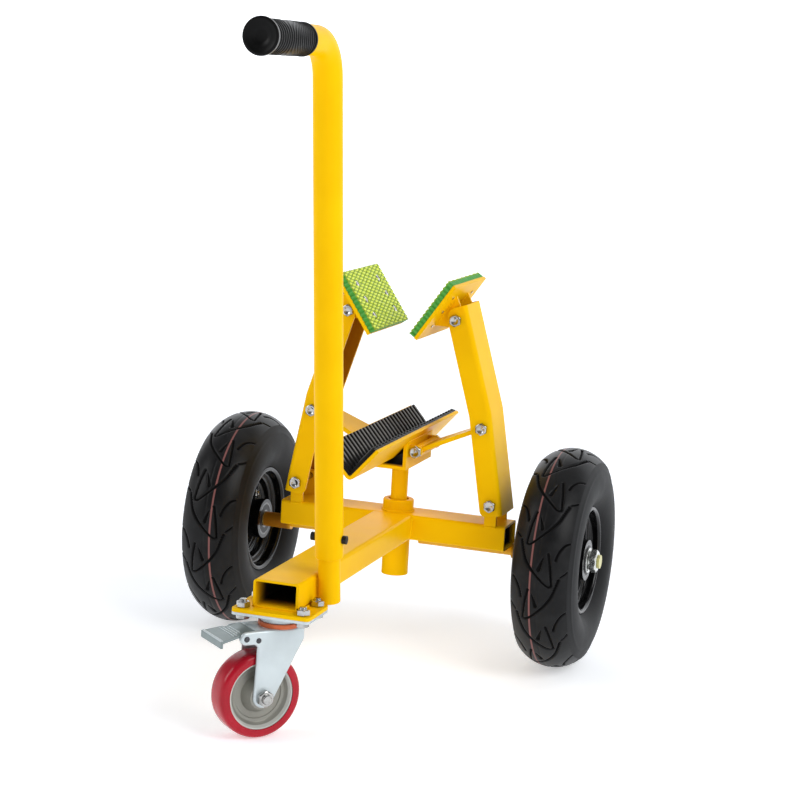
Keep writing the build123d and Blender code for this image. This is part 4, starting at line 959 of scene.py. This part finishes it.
wear(["left_arm", "right_arm"], yellow_coat("coat_arms", shade_in_channel, channel_shade_brown))
wear(["left_link", "right_link", "left_pad_plate", "right_pad_plate"], coat)
link_way = (link_outer - link_inner) / np.linalg.norm(link_outer - link_inner)
link_over = np.array([-link_way[1], link_way[0]])
barrel_reach, barrel_aside = 6.4, 3.2
for side, flip in both_sides:
    grids = []
    for x, z in (arm_foot, link_outer, pad_pivot):
        grids += bolt_grids((flip * x, post_y - arm_outside, z), (0, 1, 0), 2 * arm_outside, *bolt_8mm)
    solid = side + "_arm_fasteners"
    new_piece(side + "_arm_bolt_set", grids, side + "_arm", bright_zinc, [solid])
    beads = []
    for barrel, way, half in ((link_inner, 1, 33), (link_outer, -1, 24)):
        for over in (-1, 1):
            x, z = barrel + way * barrel_reach * link_way + over * barrel_aside * link_over
            beads.append(seam((flip * x, post_y - half, z), (flip * x, post_y + half, z), 1.1, 3.0))
    new_piece(side + "_link_welds", beads, side + "_link", coat)


# Pads: thick green rubber, its lime face moulded as a basket weave, held on the plates by six screws
# each. Their rims are cut to a saw, and the screws sit in round pockets.
pad_height, pad_length, pad_sheet, pad_back = 78.0, 126.0, 9.0, 21
pad_lean = np.radians(56)
pad_up = np.array([np.cos(pad_lean), np.sin(pad_lean)])
pad_out = np.array([-np.sin(pad_lean), np.cos(pad_lean)])
weave_short, weave_long, weave_depth = 5.7, 17.0, 2.2
pocket_radius, pocket_floor = 4.2, 3.4
pad_u = np.linspace(-pad_height / 2, pad_height / 2, 210)
pad_v = np.linspace(-pad_length / 2, pad_length / 2, 230)
u, v = np.meshgrid(pad_u, pad_v, indexing="ij")
# Two slanting families of strands take turns on top, in the cells of a diamond grid. A strand's height is
# a sine across it, to the power of 0.8, times 0.3 to 1 by a sine along it.
strand_a, strand_b = u / weave_short + v / weave_long, u / weave_short - v / weave_long
over = (np.floor(strand_a) + np.floor(strand_b)) % 2
lengthwise = np.abs(np.sin(np.pi * np.where(over > 0, strand_a, strand_b)))
crosswise = np.abs(np.sin(np.pi * np.where(over > 0, strand_b, strand_a)))
weave = crosswise**0.8 * (0.3 + 0.7 * lengthwise)
pad_relief = pad_sheet - weave_depth + weave_depth * weave
pad_screw_places = [(row, column) for row in (-21, 0, 21) for column in (-38, 38)]
for row, column in pad_screw_places:
    outside = np.clip((np.hypot(u - row, v - column) - pocket_radius) / 0.6, 0, 1)
    pad_relief = pad_relief * outside + pocket_floor * (1 - outside)


def saw_edge(place, across, half, pitch, depth):
    """How far an edge point is drawn in: a saw of a pitch and depth, fading over 5 from the edge."""
    tooth = np.abs((across / pitch + 0.25) % 1 - 0.5) * 2
    return -np.sign(place) * depth * tooth * np.clip((np.abs(place) - half + 5) / 5, 0, 1)


def on_pad(u, v, height):
    """A point of the right pad: u up its slope, v along it, and height above its plate."""
    up = u + saw_edge(u, v, pad_height / 2, weave_long / 2, 1.2)
    along = v + saw_edge(v, u, pad_length / 2, weave_short, 2.4)
    x = pad_pivot[0] + pad_up[0] * up + pad_out[0] * (pad_back + height)
    z = pad_pivot[1] + pad_up[1] * up + pad_out[1] * (pad_back + height)
    return np.stack([x, post_y + along, z], axis=-1)


head_radius, head_top, head_foot = 4.05, 8.8, 3.3


def cross_head():
    """A round screw head over radius and angle, (u, v, height): a dome with a recess 1.2 deep within
    0.45 of two crossed lines, and a straight side down into the pocket."""
    radius = np.concatenate([[0.02], np.linspace(0.3, 2.8, 14), [3.4, 3.8, head_radius, head_radius, 0.02]])
    angle = np.linspace(0, 2 * np.pi, 72, endpoint=False)
    r, a = np.meshgrid(radius, angle, indexing="ij")
    u, v = r * np.cos(a), r * np.sin(a)
    recess = np.clip((0.8 - np.minimum(np.abs(u), np.abs(v))) / 0.35, 0, 1) * np.clip((2.7 - r) / 0.3, 0, 1)
    height = head_top - 1.3 * (r / head_radius) ** 2 - 1.2 * recess
    height[-2:] = head_foot
    return u, v, height


lime_deep, lime_pale = (0.74, 0.86, 0.07), (0.80, 0.90, 0.12)
gap_shade_green, side_green = (0.27, 0.40, 0.025), (0.075, 0.36, 0.05)
material, shader, place = new_finish("pad_rubber", Specular_IOR_Level=0.4)
x, y, z = place.parts()
to_right = place.add("CombineXYZ", {}, {0: abs(x), 1: y, 2: z})
facing = to_right.along((pad_out[0], 0, pad_out[1]))
face_at = pad_pivot @ pad_out + pad_back + pad_sheet
on_face = facing.rise(face_at - 2.7, face_at - 2.3)
on_strand = facing.rise(face_at - 1.5, face_at - 0.7)
cloud = place.noise(0.06, 4)
# The low parts of the weave are painted a darker green: painted shade in the gaps.
woven = on_strand.mix(gap_shade_green, cloud.rise(0.3, 0.7).mix(lime_deep, lime_pale))
feed(shader, Base_Color=on_face.mix(side_green, woven), Roughness=0.4 + 0.2 * cloud)
feed(shader, Normal=place.bump(place.noise(0.9, 2), 0.06))
pad = relief_slab(pad_u, pad_v, pad_relief, on_pad)
head_u, head_v, head_height = cross_head()
heads = []
for row, column in pad_screw_places:
    heads.append((on_pad(row + head_u, column + head_v, head_height), False, True))
pad_bead_u, pad_bead_v, pad_bead_height = np.array([-20.0, 20.0]), (20.7, 25.2), -4.2
for side, flip in both_sides:
    body, solid = side + "_pad", side + "_pad_rubber"
    new_piece(side + "_woven_pad", for_side(pad, flip), body, material, [solid], 55)
    wear([side + "_pad_screws"], bright_zinc)
    new_piece(side + "_pad_screw_heads", for_side(heads, flip), body, nut_zinc)
    beads = []
    for v in pad_bead_v:
        for end in (-1, 1):
            start, stop = on_pad(pad_bead_u, 0 * pad_bead_u + end * v, pad_bead_height) * (flip, 1, 1)
            beads.append(seam(start, stop, 1.2, 3.2))
    new_piece(side + "_pad_welds", beads, body, coat)


# Studio: pale paper that lies under the trolley and curves up behind it, three broad soft lamps, a white
# horizon for the other sides, and the photograph's camera.
paper_front, paper_bend, paper_side, bend_radius, paper_end = -9000, 3500, 9000, 2500, (0, 6100, 6500)
t = np.linspace(0.05, 1.5, 24)
bend = np.stack([0 * t, paper_bend + bend_radius * np.sin(t), bend_radius - bend_radius * np.cos(t)], axis=1)
floor_run = np.vstack([straight((0, paper_front, 0), (0, paper_bend, 0), 400), bend, [paper_end]])
sweep = np.stack([floor_run + (x, 0, -0.4) for x in (-paper_side, paper_side)], axis=1) * 0.001
first = 2 * np.arange(len(floor_run) - 1)
quads = np.stack([first, first + 1, first + 3, first + 2], axis=1)
mesh = bpy.data.meshes.new("studio_floor")
mesh.from_pydata(sweep.reshape(-1, 3).tolist(), [], quads.tolist())
mesh.polygons.foreach_set("use_smooth", np.ones(len(quads), bool))
paper, glow_near, glow_far = (0.83, 0.86, 0.90, 1), (0.44, 0.44, 0.44), (0.82, 0.82, 0.82)
material, shader, place = new_finish("studio_paper", Base_Color=paper, Roughness=0.9, Specular_IOR_Level=0.1)
shader.inputs["Emission Strength"].default_value = 1.0
feed(shader, Emission_Color=place.length().rise(2500, 5500).mix(glow_near, glow_far))
mesh.materials.append(material)
floor = bpy.data.objects.new("studio_floor", mesh)
bpy.context.scene.collection.objects.link(floor)


def stand(thing, right, up, back, at):
    """Puts a lamp or the camera at a point, with its own axes right, up and back."""
    turn = np.stack([right, up, back], axis=1)
    thing.matrix_world = Matrix([[*row, p] for row, p in zip(turn, at)] + [[0, 0, 0, 1]])
    bpy.context.scene.collection.objects.link(thing)


def soft_light(name, at, towards, size, power):
    """A square area light at a point, turned towards another."""
    light = bpy.data.lights.new(name, "AREA")
    light.shape = "SQUARE"
    light.size = size
    light.energy = power
    back = np.array(at, float) - np.array(towards, float)
    back /= np.linalg.norm(back)
    right = np.cross((0.0, 0.0, 1.0), back)
    right /= np.linalg.norm(right)
    stand(bpy.data.objects.new(name, light), right, np.cross(back, right), back, at)


soft_light("key", (-4.6, -2.1, 3.2), (0, 0, 0.25), 3.0, 105)
soft_light("fill", (4.1, -1.5, 3.6), (0, 0, 0.3), 3.2, 150)
soft_light("top", (0.1, 0.6, 3.0), (0, 0.1, 0), 2.4, 9)
horizon_white, sky_grey = (1.0, 1.0, 1.0), (0.19, 0.19, 0.2)
world = bpy.data.worlds.new("studio_world")
world.use_nodes = True
sky = world.node_tree.nodes["Background"]
way = Socket(world.node_tree, world.node_tree.nodes.new("ShaderNodeTexCoord").outputs["Generated"])
feed(sky, Color=way.parts()[2].rise(0.10, 0.32).mix(horizon_white, sky_grey))
bpy.context.scene.world = world
bpy.context.scene.view_settings.view_transform = "Standard"

azimuth, elevation, roll = np.radians([17.610, 9.452, -3.315])
camera_at = (0.7856, -2.4925 + post_y * 0.001, 0.7340)
sensor_width, focal_pixels, picture_pixels = 36, 2226.1, 800
level = np.array([np.cos(azimuth), np.sin(azimuth), 0])
ahead = np.array([-np.sin(azimuth), np.cos(azimuth), 0])
forward = np.cos(elevation) * ahead - np.array([0, 0, np.sin(elevation)])
down = np.cross(forward, level)
right = np.cos(roll) * level + np.sin(roll) * down
lower = np.cos(roll) * down - np.sin(roll) * level
lens = bpy.data.cameras.new("camera")
lens.sensor_width = sensor_width
lens.lens = sensor_width * focal_pixels / picture_pixels
lens.clip_start, lens.clip_end = 0.05, 60
camera = bpy.data.objects.new("camera", lens)
stand(camera, right, -lower, -forward, camera_at)
bpy.context.scene.camera = camera
